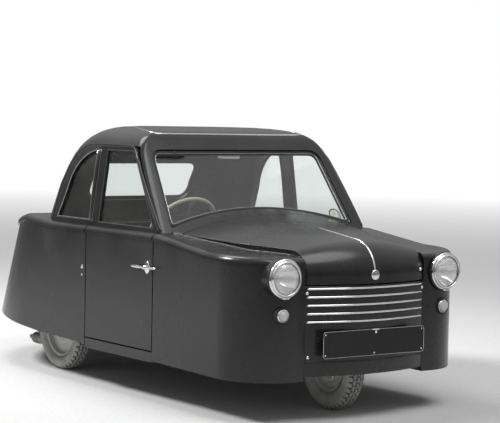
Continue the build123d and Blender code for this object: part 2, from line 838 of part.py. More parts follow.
# Front fork, turning in the headstock, with its spring units and wheel axle
with BuildPart() as fork:
    with BuildSketch(Plane.YZ.offset(fork_half)):
        with BuildLine():
            blade_half = 22
            Polyline((at(-blade_half), front_tyre_r), (at(-blade_half - 8), crown_z + 26),
                     (at(blade_half + 8), crown_z + 26), (at(blade_half), front_tyre_r))
            ThreePointArc((at(blade_half), front_tyre_r), (at(0), front_tyre_r - blade_half),
                          (at(-blade_half), front_tyre_r))
        make_face()
    extrude(amount=fork_blade_t)
    spring_x = fork_half + fork_blade_t + 18
    with Locations((spring_x, at(0), (front_tyre_r + crown_z) / 2 + 14)):
        Cylinder(15, crown_z - front_tyre_r - 24)
    for z in (front_tyre_r + 26, crown_z + 2):
        with Locations((spring_x - 8, at(0), z)):
            Box(44, 30, 12)
    mirror(about=Plane.YZ)
    with Locations((0, at(0), crown_z + 13)):
        Box(2 * fork_half + 4, 60, 26)
    with Locations((0, at(0), (crown_z + 26 + headstock_low_z) / 2)):
        Cylinder(30, headstock_low_z - crown_z - 26 - 2 * fixed_gap)
    with Locations((0, at(0), (crown_z + headstock_top_z + 30) / 2)):
        Cylinder(steerer_r, headstock_top_z + 30 - crown_z)
    with Locations((0, at(0), front_tyre_r)):
        Cylinder(axle_r, 2 * fork_half + 2, rotation=(0, 90, 0))
export_one(fork.part, "front_fork")


def tyre_form(tyre_r, tyre_w, rim_r):
    """Hollow tyre about the X axis, seated on a rim of radius rim_r."""
    half = tyre_w / 2
    bead = rim_r - bead_drop
    bead_half = half * bead_share
    shoulder = tyre_r - 12
    middle = (rim_r + tyre_r) / 2
    with BuildPart() as tyre:
        with BuildSketch():
            with BuildLine():
                Line((0, tyre_r), (half * 0.55, tyre_r - 2))
                Line((half * 0.55, tyre_r - 2), (half * 0.86, shoulder))
                ThreePointArc((half * 0.86, shoulder), (half, middle), (bead_half, rim_r + 1))
                Polyline((bead_half, rim_r + 1), (bead_half, bead), (bead_half - 10, bead),
                         (half - 12, middle), (half * 0.7, tyre_r - 18), (0, tyre_r - 14))
                mirror(about=Plane.YZ)
            make_face()
        revolve(axis=Axis.X)
    return tyre.part


def rim_form(tyre_w, rim_r, bore_r, hub_in, hub_out):
    """Pressed wheel about the X axis with its dish towards +X, bored for the stub."""
    bead = rim_r - bead_drop - fixed_gap
    edge = tyre_w / 2 * bead_share + fixed_gap
    with BuildPart() as rim:
        with BuildSketch():
            with BuildLine():
                Polyline((-hub_in, bore_r), (hub_out, bore_r), (hub_out, hub_r), (dish_x + 6, hub_r + 4),
                         (dish_x + 10, bolt_pcd / 2 - 14), (dish_x + 10, bolt_pcd / 2 + 14),
                         (dish_x + 2, bead - 22), (dish_x + 2, bead - 6), (edge, bead - 6),
                         (edge + 4, rim_r), (edge, rim_r), (edge, bead), (-edge, bead), (-edge, rim_r),
                         (-edge - 4, rim_r),
                         (-edge, bead - 6), (dish_x - 4, bead - 6), (dish_x - 4, bead - 22),
                         (dish_x + 4, bolt_pcd / 2 + 14), (dish_x + 4, bolt_pcd / 2 - 14),
                         (dish_x - 2, hub_r + 4), (-hub_in, hub_r), (-hub_in, bore_r))
            make_face()
        revolve(axis=Axis.X)
        with BuildSketch(Plane.YZ):
            with PolarLocations(bolt_pcd / 2, bolt_count):
                Circle(bolt_r)
        extrude(amount=60, mode=Mode.SUBTRACT)
    return rim.part


# Wheels
front_place = Location((0, at(0), front_tyre_r))
rear_place = Location((rear_track / 2, rear_axle_y, rear_tyre_r))
export_one(tyre_form(front_tyre_r, front_tyre_w, front_rim_r).moved(front_place), "front_tyre")
front_rim = rim_form(front_tyre_w, front_rim_r, axle_r + fixed_gap, 44, 44)
export_one(front_rim.moved(front_place), "front_rim")
export_pair(tyre_form(rear_tyre_r, rear_tyre_w, rear_rim_r).moved(rear_place), "rear_tyre")
rear_rim = rim_form(rear_tyre_w, rear_rim_r, stub_r + fixed_gap, 30, 36)
export_pair(rear_rim.moved(rear_place), "rear_rim")

# Rear axle with its stubs, and a leaf spring under each rail
with BuildPart() as rear_axle:
    with Locations((0, rear_axle_y, rear_tyre_r)):
        Cylinder(rear_axle_r, rear_track - 80, rotation=(0, 90, 0))
        Cylinder(stub_r, rear_track + 50, rotation=(0, 90, 0))
        Box(150, 90, 90)
export_one(rear_axle.part, "rear_axle")
with BuildPart() as rear_springs:
    with BuildSketch(Plane.YZ.offset(rail_x - 20)):
        with BuildLine():
            seat_z = rear_tyre_r + rear_axle_r
            ends = [(rear_axle_y + y, rear_rail_z) for y in (-spring_half, spring_half)]
            eye = spring_half - spring_eye
            inner_ends = [(rear_axle_y + y, rear_rail_z) for y in (-eye, eye)]
            ThreePointArc(ends[0], (rear_axle_y, seat_z), ends[1])
            Line(ends[1], inner_ends[1])
            ThreePointArc(inner_ends[1], (rear_axle_y, seat_z + spring_t), inner_ends[0])
            Line(inner_ends[0], ends[0])
        make_face()
    extrude(amount=40)
    mirror(about=Plane.YZ)
export_one(rear_springs.part, "rear_springs")

# Engine as one block on the rear cross members, and its exhaust
with BuildPart() as engine:
    with Locations((0, at(2268), (rear_rail_z + rail_h + 690) / 2)):
        Box(300, 280, 690 - rear_rail_z - rail_h)
    fillet(engine.edges().filter_by(Axis.Z), 30)
export_one(engine.part, "engine_block")
with BuildPart() as exhaust:
    with Locations((silencer_x, at(silencer_y), silencer_z)):
        Cylinder(silencer_r, silencer_run, rotation=(90, 0, 0))
    strap_z = 226
    with Locations((silencer_x, at(silencer_y), (silencer_z + strap_z) / 2)):
        Box(30, 24, strap_z - silencer_z)
    with Locations(((silencer_x - rail_x) / 2, at(silencer_y), strap_z)):
        Box(-silencer_x - rail_x + 30, 24, 14)
    with Locations((-rail_x, at(silencer_y), (strap_z + rear_rail_z) / 2)):
        Box(24, 24, rear_rail_z - strap_z)
export_one(exhaust.part, "exhaust")

# Steering column and wheel
wheel_plane = Plane(origin=(column_x, at(steering_wheel_y), steering_wheel_z), x_dir=(1, 0, 0),
                    z_dir=(0, cos(radians(column_rise)), sin(radians(column_rise))))
column_run = (steering_wheel_y - firewall - bulkhead_t) / cos(radians(column_rise))
with BuildPart() as column:
    with BuildSketch(wheel_plane.offset(-26)):
        Circle(19)
        Circle(9 + fixed_gap, mode=Mode.SUBTRACT)
    extrude(amount=-(column_run + 20))
    with BuildSketch(Plane.XZ.offset(-at(firewall + bulkhead_t))):
        Rectangle(4000, 4000)
    extrude(amount=200, mode=Mode.SUBTRACT)
export_one(column.part, "steering_column")
with BuildPart() as steering_wheel:
    with BuildSketch(Plane(origin=wheel_plane.origin + wheel_plane.x_dir * steering_wheel_r,
                           x_dir=wheel_plane.x_dir, z_dir=wheel_plane.y_dir)):
        Circle(10)
    revolve(axis=Axis(wheel_plane.origin, wheel_plane.z_dir))
    with BuildSketch(wheel_plane.offset(-24)):
        Circle(30)
    extrude(amount=34)
    with BuildSketch(wheel_plane.offset(-6)):
        with PolarLocations(steering_wheel_r / 2, 3, start_angle=90):
            Rectangle(steering_wheel_r - 4, 16)
    extrude(amount=6)
    with BuildSketch(wheel_plane.offset(-200)):
        Circle(9)
    extrude(amount=190)
export_one(steering_wheel.part, "steering_wheel")

# Lamps
lamp_face = at(wing_face) - 10
with BuildPart() as headlamp:
    with BuildSketch(Plane(origin=(lamp_x, 0, headlamp_z), x_dir=(1, 0, 0), z_dir=(0, 0, 1))):
        with BuildLine():
            Polyline((headlamp_r, lamp_face - fixed_gap), (headlamp_r, lamp_face - 10))
            ThreePointArc((headlamp_r, lamp_face - 10), (headlamp_r - 5, lamp_face - 18),
                          (headlamp_r - 14, lamp_face - 20))
            Polyline((headlamp_r - 14, lamp_face - 20), (headlamp_r - 19, lamp_face - 14),
                     (headlamp_r - 19, lamp_face - 6), (headlamp_r - 34, lamp_face + 34),
                     (0, lamp_face + 50), (0, lamp_face + 54), (headlamp_r - 32, lamp_face + 38),
                     (headlamp_r - 16, lamp_face + 2), (headlamp_r - 16, lamp_face - fixed_gap),
                     (headlamp_r, lamp_face - fixed_gap))
        make_face()
    revolve(axis=Axis((lamp_x, 0, headlamp_z), (0, 1, 0)))
export_one(both_sides(headlamp.part), "headlamps")
lens_r = headlamp_r - 19 - fixed_gap
lens_bulge = 30
lens_t = 4
dome_r = (lens_r**2 + lens_bulge**2) / (2 * lens_bulge)
dome_y = lamp_face - 44 + dome_r
with BuildPart() as headlamp_lens:
    with BuildSketch(Plane(origin=(lamp_x, 0, headlamp_z), x_dir=(1, 0, 0), z_dir=(0, 0, 1))):
        with BuildLine():
            outer = CenterArc((0, dome_y), dome_r, -90, degrees(asin(lens_r / dome_r)))
            inner = CenterArc((0, dome_y), dome_r - lens_t, -90, degrees(asin(lens_r / (dome_r - lens_t))))
            Line(outer @ 0, inner @ 0)
            Line(outer @ 1, inner @ 1)
        make_face()
    revolve(axis=Axis((lamp_x, 0, headlamp_z), (0, 1, 0)))
export_one(both_sides(headlamp_lens.part), "headlamp_lenses")
with BuildPart() as sidelamp:
    with Locations((lamp_x, at(-230), sidelamp_z)):
        Cylinder(sidelamp_r, 28, rotation=(90, 0, 0))
    with Locations((lamp_x, at(-242), sidelamp_z)):
        Cylinder(sidelamp_r - 8, 12, rotation=(90, 0, 0), mode=Mode.SUBTRACT)
    add(front_wing.part, mode=Mode.SUBTRACT)
lamp_base = Part() + sidelamp.solids().sort_by(SortBy.VOLUME)[-1]
export_one(both_sides(lamp_base), "sidelamps")
with BuildPart() as sidelamp_lens:
    with Locations((lamp_x, at(-236) - fixed_gap, sidelamp_z)):
        Cylinder(sidelamp_r - 8 - fixed_gap, 24, align=(Align.CENTER, Align.CENTER, Align.MIN),
                 rotation=(90, 0, 0))
    fillet(sidelamp_lens.edges().sort_by(Axis.Y)[0], 12)
export_one(both_sides(sidelamp_lens.part), "sidelamp_lenses")
with BuildPart() as tail_lamp:
    with Locations((tail_lamp_x, at(tail_lamp_rear - 50), tail_lamp_z)):
        Cylinder(tail_lamp_r, 100, rotation=(90, 0, 0))
    add(rear_body.part, mode=Mode.SUBTRACT)
lamp_glass = Part() + tail_lamp.solids().sort_by(Axis.Y)[-1]
export_one(both_sides(lamp_glass), "tail_lamps")

# Bright strip and boss on the bonnet, number plate on the grille panel
trim_skin = nose_skin(-5)
with BuildPart() as bonnet_trim:
    add(trim_skin)
    add(nose_outer, mode=Mode.SUBTRACT)
    with BuildSketch(Plane.XY.offset(boss_z)):
        add(plan_region([(-trim_half, -500), (trim_half, -500), (trim_half, trim_rear),
                         (-trim_half, trim_rear)]))
    extrude(amount=height, mode=Mode.INTERSECT)
    with BuildSketch(Plane.XZ.offset(-at(nose_face - 14))):
        with Locations((0, boss_z)):
            Circle(boss_r)
    boss = extrude(amount=-24, mode=Mode.PRIVATE)
    add(boss - nose_outer)
export_one(bonnet_trim.part, "bonnet_trim")
plate_skin = nose_skin(-8)
with BuildPart() as number_plate:
    add(plate_skin)
    add(nose_outer, mode=Mode.SUBTRACT)
    with BuildSketch(Plane.XZ.offset(-at(-100))):
        with Locations((0, plate_z)):
            RectangleRounded(plate_w, plate_h, plate_r)
    extrude(amount=500, mode=Mode.INTERSECT)
export_one(number_plate.part, "number_plate")

# Door handles
with BuildPart() as door_handle:
    with Locations((skin_half, at(662), 671)):
        Cylinder(16, 20, align=(Align.CENTER, Align.CENTER, Align.MIN), rotation=(0, 90, 0))
    with BuildSketch(Plane.YZ.offset(skin_half + 16)):
        with BuildLine():
            Polyline((at(652), 664), (at(652), 680), (at(800), 683), (at(809), 676), (at(800), 669),
                     (at(652), 664))
        make_face()
    extrude(amount=10)
export_pair(door_handle.part, "door_handle")
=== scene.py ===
"""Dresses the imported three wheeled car: body finish, wheels, lamps, glass, seats, trim and stage."""
import json
import math

import bmesh
import bpy
import numpy as np
from bpy.props import FloatProperty, IntProperty, PointerProperty, StringProperty
from mathutils import Matrix, Vector

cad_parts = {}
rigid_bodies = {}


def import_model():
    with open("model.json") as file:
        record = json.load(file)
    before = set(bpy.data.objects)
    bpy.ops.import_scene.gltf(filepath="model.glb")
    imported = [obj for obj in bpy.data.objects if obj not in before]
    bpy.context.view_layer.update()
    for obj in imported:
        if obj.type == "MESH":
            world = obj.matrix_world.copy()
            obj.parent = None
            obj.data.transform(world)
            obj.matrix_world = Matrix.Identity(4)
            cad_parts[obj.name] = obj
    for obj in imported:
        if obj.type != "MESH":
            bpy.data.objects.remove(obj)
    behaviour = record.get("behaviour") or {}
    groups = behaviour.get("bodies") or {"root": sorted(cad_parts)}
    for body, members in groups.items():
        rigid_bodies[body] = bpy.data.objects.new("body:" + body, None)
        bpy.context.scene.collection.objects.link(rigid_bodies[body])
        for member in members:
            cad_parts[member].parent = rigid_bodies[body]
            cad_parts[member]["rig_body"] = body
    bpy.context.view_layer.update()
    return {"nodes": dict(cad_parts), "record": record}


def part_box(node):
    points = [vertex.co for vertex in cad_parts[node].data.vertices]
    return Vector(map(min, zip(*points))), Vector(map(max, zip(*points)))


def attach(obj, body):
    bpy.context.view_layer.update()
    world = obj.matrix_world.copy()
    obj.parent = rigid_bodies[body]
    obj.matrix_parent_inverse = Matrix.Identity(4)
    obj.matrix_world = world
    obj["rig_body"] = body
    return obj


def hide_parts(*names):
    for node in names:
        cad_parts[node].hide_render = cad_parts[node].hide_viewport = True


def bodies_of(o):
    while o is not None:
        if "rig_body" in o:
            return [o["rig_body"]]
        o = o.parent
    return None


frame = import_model()

bl_info = {
    "name": "Three wheeled car dressing",
    "version": (1, 1, 0),
    "blender": (4, 5, 0),
    "location": "View3D > Sidebar > Car",
    "description": "Finishes, wheels, lamps, glass, seats and trim on the packed three wheeled car",
    "category": "Object",
}

MM = 0.001
NODES = frame["nodes"]


def joint_place(name):
    """Point of a joint's axis in metres."""
    return np.array(next(j for j in frame["record"]["behaviour"]["joints"] if j["name"] == name)["pos_m"])


AXLE_Y = joint_place("front_wheel_spin")[1]


def car_mm(place):
    """Millimetres across, behind the front axle and up, from a point of the frame in metres."""
    return (np.asarray(place, float) - (0, AXLE_Y, 0)) / MM


def body_of(node):
    """Name of the body that carries a node."""
    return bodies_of(NODES[node])[0]


# Shapes, all in millimetres across (x), behind the front axle (y) and up (z)

def unit(v):
    """Vectors of length one."""
    return v / np.linalg.norm(v, axis=-1, keepdims=True)


def grid_faces(rows, columns, close_rows=False, close_columns=False):
    """Corner numbers of the quads of a grid whose points run row by row."""
    r = np.arange(rows if close_rows else rows - 1)
    c = np.arange(columns if close_columns else columns - 1)
    r, c = np.meshgrid(r, c, indexing="ij")
    r2, c2 = (r + 1) % rows, (c + 1) % columns
    quads = np.stack([r * columns + c, r * columns + c2, r2 * columns + c2, r2 * columns + c], axis=-1)
    return quads.reshape(-1, 4)


def mirrored(part):
    """The same shape on the other side of the car."""
    points, faces = part
    return points * (-1, 1, 1), faces


def both(part):
    """A shape and its mirror image."""
    return [part, mirrored(part)]


def turned(profile, steps, centre, axis="X"):
    """Ring of a closed profile about an axis: point = centre + along * axis + radius * circle(angle)."""
    along, radius = np.asarray(profile, float).T
    angle = np.linspace(0, 2 * np.pi, steps, endpoint=False)[:, None]
    c, s = radius[None, :] * np.cos(angle), radius[None, :] * np.sin(angle)
    a = np.broadcast_to(along[None, :], c.shape)
    order = {"X": (a, c, s), "Y": (s, a, c), "Z": (c, s, a)}[axis]
    points = np.stack(order, axis=-1).reshape(-1, 3) + np.asarray(centre, float)
    return points, grid_faces(steps, len(along), True, True)


def facing(part, centre, ahead):
    """Turns a shape made about the Y axis at a centre so that its front, -Y, looks along ahead."""
    ahead = unit(np.asarray(ahead, float))
    side = unit(np.cross((0, 0, 1), -ahead))
    basis = np.stack([side, -ahead, np.cross(side, -ahead)])
    return (part[0] - centre) @ basis + centre, part[1]


def swept(path, profile, up=(0, 0, 1), closed=False, scale=None):
    """Closed profile along a path: point = path + scale * (u * side + v * lift), side square to the run."""
    path, profile = np.asarray(path, float), np.asarray(profile, float)
    run = unit(np.roll(path, -1, 0) - np.roll(path, 1, 0) if closed else np.gradient(path, axis=0))
    side = unit(np.cross(run, np.broadcast_to(np.asarray(up, float), path.shape)))
    lift = np.cross(side, run)
    size = np.ones(len(path)) if scale is None else np.asarray(scale, float)
    local = profile[None] * size[:, None, None]
    points = path[:, None] + local[..., :1] * side[:, None] + local[..., 1:] * lift[:, None]
    n, m = len(path), len(profile)
    faces = grid_faces(n, m, closed, True)
    if closed:
        return points.reshape(-1, 3), faces
    ends = points[[0, -1]].mean(axis=1)
    k = np.arange(m)
    k2, last = (k + 1) % m, (n - 1) * m
    start = np.stack([np.full(m, n * m), k2, k, k], axis=-1)
    end = np.stack([np.full(m, n * m + 1), last + k, last + k2, last + k2], axis=-1)
    return np.concatenate([points.reshape(-1, 3), ends]), np.concatenate([faces, start, end])


def round_section(radius, sides=12, squash=1.0):
    """Circle of points for a rod, flattened outwards by squash."""
    a = np.linspace(0, 2 * np.pi, sides, endpoint=False)
    return radius * np.stack([np.cos(a), squash * np.sin(a)], axis=-1)


def half_round(half, proud, sides=10, sunk=1.0):
    """Section of a half-round strip: an arch so many millimetres proud on a base that is sunk a little."""
    a = np.linspace(0, np.pi, sides)
    arch = np.stack([half * np.cos(a), proud * np.sin(a) ** 0.8], axis=-1)
    return np.concatenate([arch, [(-half, -sunk), (half, -sunk)]])


def tapered_ends(path, length):
    """Scale along a path that rounds both ends off over a length: sqrt(1 - (1 - s / length)^2)."""
    step = np.linalg.norm(np.diff(path, axis=0), axis=1)
    s = np.concatenate([[0], np.cumsum(step)])
    near = np.clip(np.minimum(s, s[-1] - s) / length, 0, 1)
    return np.clip(np.sqrt(1 - (1 - near) ** 2), 0.02, 1)


def evened(run, spacing, closed=False):
    """The same run with its points a fixed length apart."""
    run = np.asarray(run, float)
    if closed:
        run = np.concatenate([run, run[:1]])
    s = np.concatenate([[0], np.cumsum(np.linalg.norm(np.diff(run, axis=0), axis=1))])
    marks = np.linspace(0, s[-1], max(int(round(s[-1] / spacing)), 3) + 1)
    if closed:
        marks = marks[:-1]
    return np.stack([np.interp(marks, s, run[:, k]) for k in range(run.shape[1])], axis=-1)


def rounded(corners, radii, closed=True, spacing=10.0):
    """Run through corners, each turned by a parabola that starts radius * tan(half the turn) before it."""
    corners = np.asarray(corners, float)
    count = len(corners)
    parts = []
    t = np.linspace(0, 1, 9)[:, None]
    for k, (p, radius) in enumerate(zip(corners, np.broadcast_to(radii, count))):
        if radius == 0 or (not closed and k in (0, count - 1)):
            parts.append(p[None])
            continue
        a, b = corners[k - 1] - p, corners[(k + 1) % count] - p
        turn = math.acos(np.clip(-unit(a) @ unit(b), -1, 1))
        reach = min(radius * math.tan(turn / 2), 0.48 * np.linalg.norm(a), 0.48 * np.linalg.norm(b))
        start, end = p + reach * unit(a), p + reach * unit(b)
        parts.append((1 - t) ** 2 * start + 2 * t * (1 - t) * p + t**2 * end)
    return evened(np.concatenate(parts), spacing, closed)


def set_in(run, amount):
    """A closed plane run moved inwards: each point goes along its normal, towards the middle."""
    along = unit(np.roll(run, -1, 0) - np.roll(run, 1, 0))
    normal = np.stack([-along[:, 1], along[:, 0]], axis=-1)
    if ((run.mean(axis=0) - run) * normal).sum() < 0:
        normal = -normal
    return run + amount * normal


def curve_through(keys, count):
    """Smooth run through key points: a Catmull-Rom curve sampled evenly in its parameter."""
    keys = np.asarray(keys, float)
    padded = np.concatenate([[2 * keys[0] - keys[1]], keys, [2 * keys[-1] - keys[-2]]])
    t = np.linspace(0, len(keys) - 1, count)
    i = np.minimum(t.astype(int), len(keys) - 2)
    f = (t - i)[:, None]
    p0, p1, p2, p3 = (padded[i + k] for k in range(4))
    return 0.5 * (2 * p1 + (p2 - p0) * f + (2 * p0 - 5 * p1 + 4 * p2 - p3) * f**2
                  + (3 * p1 - p0 - 3 * p2 + p3) * f**3)


def shell(outer, thickness, out):
    """Closed sheet under a grid of points: inner point = outer point - thickness * normal, edges joined."""
    normal = unit(np.cross(np.gradient(outer, axis=0), np.gradient(outer, axis=1)))
    if (normal * np.asarray(out, float)).sum() < 0:
        normal = -normal
    inner = outer - thickness * normal
    n, m = outer.shape[:2]
    points = np.concatenate([outer, inner[:, ::-1]], axis=1).reshape(-1, 3)
    j = np.arange(m - 1)
    ends = [np.stack([s + j, s + j + 1, s + 2 * m - 2 - j, s + 2 * m - 1 - j], axis=-1)
            for s in (0, (n - 1) * 2 * m)]
    return points, np.concatenate([grid_faces(n, 2 * m, False, True), *ends])


def block(low, high, power=6.0, steps=24):
    """Soft-edged block: a superellipsoid |x|^p + |y|^p + |z|^p = 1 stretched between two corners."""
    low, high = np.asarray(low, float), np.asarray(high, float)
    u = np.linspace(0, 2 * np.pi, steps, endpoint=False)[None, :]
    v = np.linspace(-np.pi / 2, np.pi / 2, steps // 2 + 1)[:, None]
    d = np.stack([np.cos(v) * np.cos(u), np.cos(v) * np.sin(u), np.sin(v) + 0 * u], axis=-1)
    d /= (np.abs(d) ** power).sum(axis=-1, keepdims=True) ** (1 / power)
    points = (low + high) / 2 + d * (high - low) / 2
    return points.reshape(-1, 3), grid_faces(steps // 2 + 1, steps, False, True)


# The car's own surfaces

# nose: half width, distance of its face in the middle, the face's bow, and the scuttle's half width
NOSE_HALF = 367.0
NOSE_Y = -305.0
NOSE_BOW = 0.52
SCUTTLE_HALF = 583.0
# bonnet: gap to the wings, height of its lower edge, thickness of the sheets
BONNET_GAP = 6.0
BONNET_LOW = 653.0
SHEET = 12.0
# body: half width of the skin, of the upper storey at the belt line, and its lean inwards
SKIN_HALF = 690.0
BELT_Z = 848.0
FRAME_HALF = 660.0
SIDE_TILT = (FRAME_HALF - 604.0) / (1256.0 - BELT_Z)
PILLAR_R = 34.0
# windscreen: lean, foot, half widths at foot and top, height up its slope, rise of the bottom arc
SCREEN_LEAN = math.radians(35)
SCREEN_Y = 612.0
SCREEN_Z = 876.0
SCREEN_HALF = 569.0
SCREEN_TOP_HALF = 529.0
SCREEN_HEIGHT = 446.0
SCREEN_RISE = 99.0
# side windows: heights of the door glass's base, the quarter glass's base and the tops
DOOR_GLASS_LOW = 866.0
QUARTER_LOW = 870.0
WINDOW_TOP = 1249.0
# doors: rear shut line, and the seal behind it
DOOR_REAR = 1241.0
SEAL_R = 4.7
# tail: centre and radius of its round back, slope and the height that both are measured at
TAIL_Y = 2282.0
TAIL_R = 530.0
TAIL_SLOPE = 0.4
TAIL_Z = 300.0
# lamps: headlamp centre, sidelamp centre, tail lamp distance from the middle and height
HEADLAMP = (497.0, -247.0, 689.0)
SIDELAMP = (497.0, -232.0, 514.0)
TAIL_LAMP = (340.0, 410.0)
# front plate: lower and upper edge, distance of its back; rear plate: half width and edges
PLATE_Z = (308.0, 436.0)
PLATE_Y = -309.5
REAR_PLATE = (200.0, 352.0, 446.0)
# inside: the dashboard's face, the mat's middle height, the door cards' plane
DASH_Y = 578.0
MAT_Z = 258.5
CARD_X = 643.5
# rear window: distance and height of its foot, height up its slope, lean and corner radius
REAR_WINDOW = (1858.0, 960.0, 245.0, math.radians(30.3), 66.0)
# silencer: across, behind the front axle, height, radius and length; rails' distance from the middle
EXHAUST = (-430.0, 2182.0, 128.0, 32.0, 212.0)
RAIL_X = 230.0
# heights of the nose strips
STRIP_Z = (634.0, 594.5, 555.0, 515.5, 476.0)
# window storey at rising heights: height, half width, front behind the windscreen's plane, rear,
# rear corner radius
HOUSE = np.array([
    (830, 662, -16, 1914, 300), (1050, 637, -16, 1822, 290), (1150, 624, -16, 1757, 284),
    (1215, 612, -16, 1705, 278), (1255, 599, -16, 1667, 272), (1285, 582, -16, 1635, 266),
    (1308, 561, -16, 1610, 260), (1325, 537, -14, 1590, 252), (1338, 512, -8, 1573, 243),
    (1350, 480, 12, 1554, 230), (1360, 441, 50, 1530, 212), (1368, 388, 105, 1492, 185),
    (1372, 310, 190, 1430, 140)], float)
# tops of the front wings: distance, height
WING_TOP = np.array([(-420, 766), (-100, 787), (120, 794), (320, 818), (560, 848), (900, 848)], float)


def bonnet_edge(y):
    """Half width of the bonnet and scuttle: 367 at the nose, then wider by 0.318 mm a millimetre."""
    return NOSE_HALF + np.maximum(0, y + 120) * (SCUTTLE_HALF - NOSE_HALF) / 680


def nose_face(x):
    """Y of the upright nose face: -305 + 0.52 x^2 / 1000."""
    return NOSE_Y + NOSE_BOW * np.asarray(x, float) ** 2 / 1000


def nose_skin(x, s, low=0.0):
    """Nose and bonnet skin: an upright line, an arc and two slopes in each side section.

    The face stands at -305 + 0.52 x^2 / 1000, the top at 855 - 0.35 x^2 / 1000 and the arc's radius is
    165 - 54 (x / 367)^2. s runs 0 to 1 up the face from height low, 1 to 2 round the arc, 2 to 3 up to the
    bend and 3 to 4 on to the windscreen.
    """
    q = x**2 / 1000
    radius = 165 - 54 * (x / NOSE_HALF) ** 2
    face, top = nose_face(x), 855 - 0.35 * q
    turn = np.radians(180 - 84 * np.clip(s - 1, 0, 1))
    arc_y, arc_z = face + radius * (1 + np.cos(turn)), top - radius * (1 - np.sin(turn))
    to_bend, to_end = np.clip(s - 2, 0, 1), np.clip(s - 3, 0, 1)
    bend_z, end_z = 898 - 0.35 * q, 957 - 0.252 * q
    y = arc_y + to_bend * (200 - arc_y) + to_end * 440
    z = arc_z + to_bend * (bend_z - arc_z) + to_end * (end_z - bend_z)
    z = np.where(s < 1, low + (z - low) * np.clip(s, 0, 1), z)
    return np.stack(np.broadcast_arrays(x, y, z), axis=-1)


def nose_grid(s, half_at, low, columns=49):
    """Grid on the nose skin whose sides follow a half width: x = t * half(y), found by stepping."""
    t = np.linspace(-1, 1, columns)[None, :]
    s = np.asarray(s, float)[:, None]
    x = t * NOSE_HALF + 0 * s
    for _ in range(8):
        x = t * half_at(nose_skin(x, s, low)[..., 1])
    return nose_skin(x, s, low)


def screen_y(z):
    """Distance of the windscreen's plane at a height: 612 + 0.7 (z - 876)."""
    return SCREEN_Y + (z - SCREEN_Z) * math.tan(SCREEN_LEAN)


def screen_point(u, v, n=0.0):
    """Point on the windscreen's plane: u across, v up the slope, n out of it."""
    c, s = math.cos(SCREEN_LEAN), math.sin(SCREEN_LEAN)
    return np.stack(np.broadcast_arrays(u, SCREEN_Y + v * s - n * c, SCREEN_Z + v * c + n * s), axis=-1)


def screen_normal():
    """Direction out of the windscreen."""
    return (0, -math.cos(SCREEN_LEAN), math.sin(SCREEN_LEAN))


def screen_outline(grow, out=0.0):
    """Windscreen outline: a bottom arc that rises 99 mm, leaning sides and round top corners."""
    arc_r = (SCREEN_HALF**2 + SCREEN_RISE**2) / (2 * SCREEN_RISE)
    half, top_half = SCREEN_HALF + 1.05 * grow, SCREEN_TOP_HALF + 1.1 * grow
    u = np.linspace(-half, half, 25)
    bottom = np.stack([u, SCREEN_RISE - arc_r + np.sqrt((arc_r - grow) ** 2 - u**2)], axis=-1)
    top = np.array([(top_half, SCREEN_HEIGHT + grow), (-top_half, SCREEN_HEIGHT + grow)])
    radii = [14.0] + [0.0] * 23 + [14.0, 55.0 + grow, 55.0 + grow]
    run = rounded(np.concatenate([bottom, top]), radii, True, 9.0)
    return screen_point(run[:, 0], run[:, 1], out)


def on_house(run, side, out=0.0):
    """(distance, height) points on the window storey: x = half - r + sqrt(r^2 - a^2) at each round corner."""
    y, z = np.asarray(run, float).T
    half, front, rear, rear_r = (np.interp(z, HOUSE[:, 0], HOUSE[:, k]) for k in range(1, 5))
    front = front + screen_y(z)
    a = np.clip(front + PILLAR_R - y, 0, PILLAR_R)
    b = np.clip(y - rear + rear_r, 0, rear_r)
    x = half - PILLAR_R + np.sqrt(PILLAR_R**2 - a**2) - rear_r + np.sqrt(rear_r**2 - b**2) + out
    return np.stack([side * x, y, z], axis=-1)


def frame_half(z):
    """Half width of the door frame's sloping plane: 660 - 0.137 (z - belt)."""
    return FRAME_HALF - SIDE_TILT * (z - BELT_Z)


def on_door_frame(run, side, out=0.0):
    """(distance, height) points on the door frame's sloping plane."""
    y, z = np.asarray(run, float).T
    return np.stack([side * (frame_half(z) + out), y, z], axis=-1)


def on_tail(x, z, out=0.0):
    """Point on the tail: y = 2282 + sqrt(530^2 - x^2) - 0.4 (z - 300)."""
    x, z = np.broadcast_arrays(np.asarray(x, float), np.asarray(z, float))
    y = TAIL_Y + out + np.sqrt(TAIL_R**2 - x**2) - TAIL_SLOPE * (z - TAIL_Z)
    return np.stack([x, y, z], axis=-1)


def side_normal(side):
    """Direction out of the window storey's side."""
    return (side, 0, 0.14)


# Meshes

def joined(*parts):
    """Stacks several (points, faces) pairs into one."""
    points, faces, start = [], [], 0
    for p, f in parts:
        points.append(np.asarray(p).reshape(-1, 3))
        faces.append(np.asarray(f) + start)
        start += len(points[-1])
    return np.concatenate(points), np.concatenate(faces)


def solid_mesh(name, *parts, sharp=None):
    """Mesh in metres of closed shells, welded and turned outwards; doubled corners become triangles."""
    points, faces = joined(*parts)
    points = points * MM
    points[:, 1] += AXLE_Y
    mesh = bpy.data.meshes.new(name)
    mesh.from_pydata(points.tolist(), [], [list(dict.fromkeys(f)) for f in faces.tolist()])
    bm = bmesh.new()
    bm.from_mesh(mesh)
    bmesh.ops.remove_doubles(bm, verts=bm.verts, dist=1e-6)
    bmesh.ops.recalc_face_normals(bm, faces=bm.faces)
    bm.to_mesh(mesh)
    bm.free()
    mesh.polygons.foreach_set("use_smooth", np.full(len(mesh.polygons), True))
    if sharp:
        mesh.set_sharp_from_angle(angle=math.radians(sharp))
    return mesh


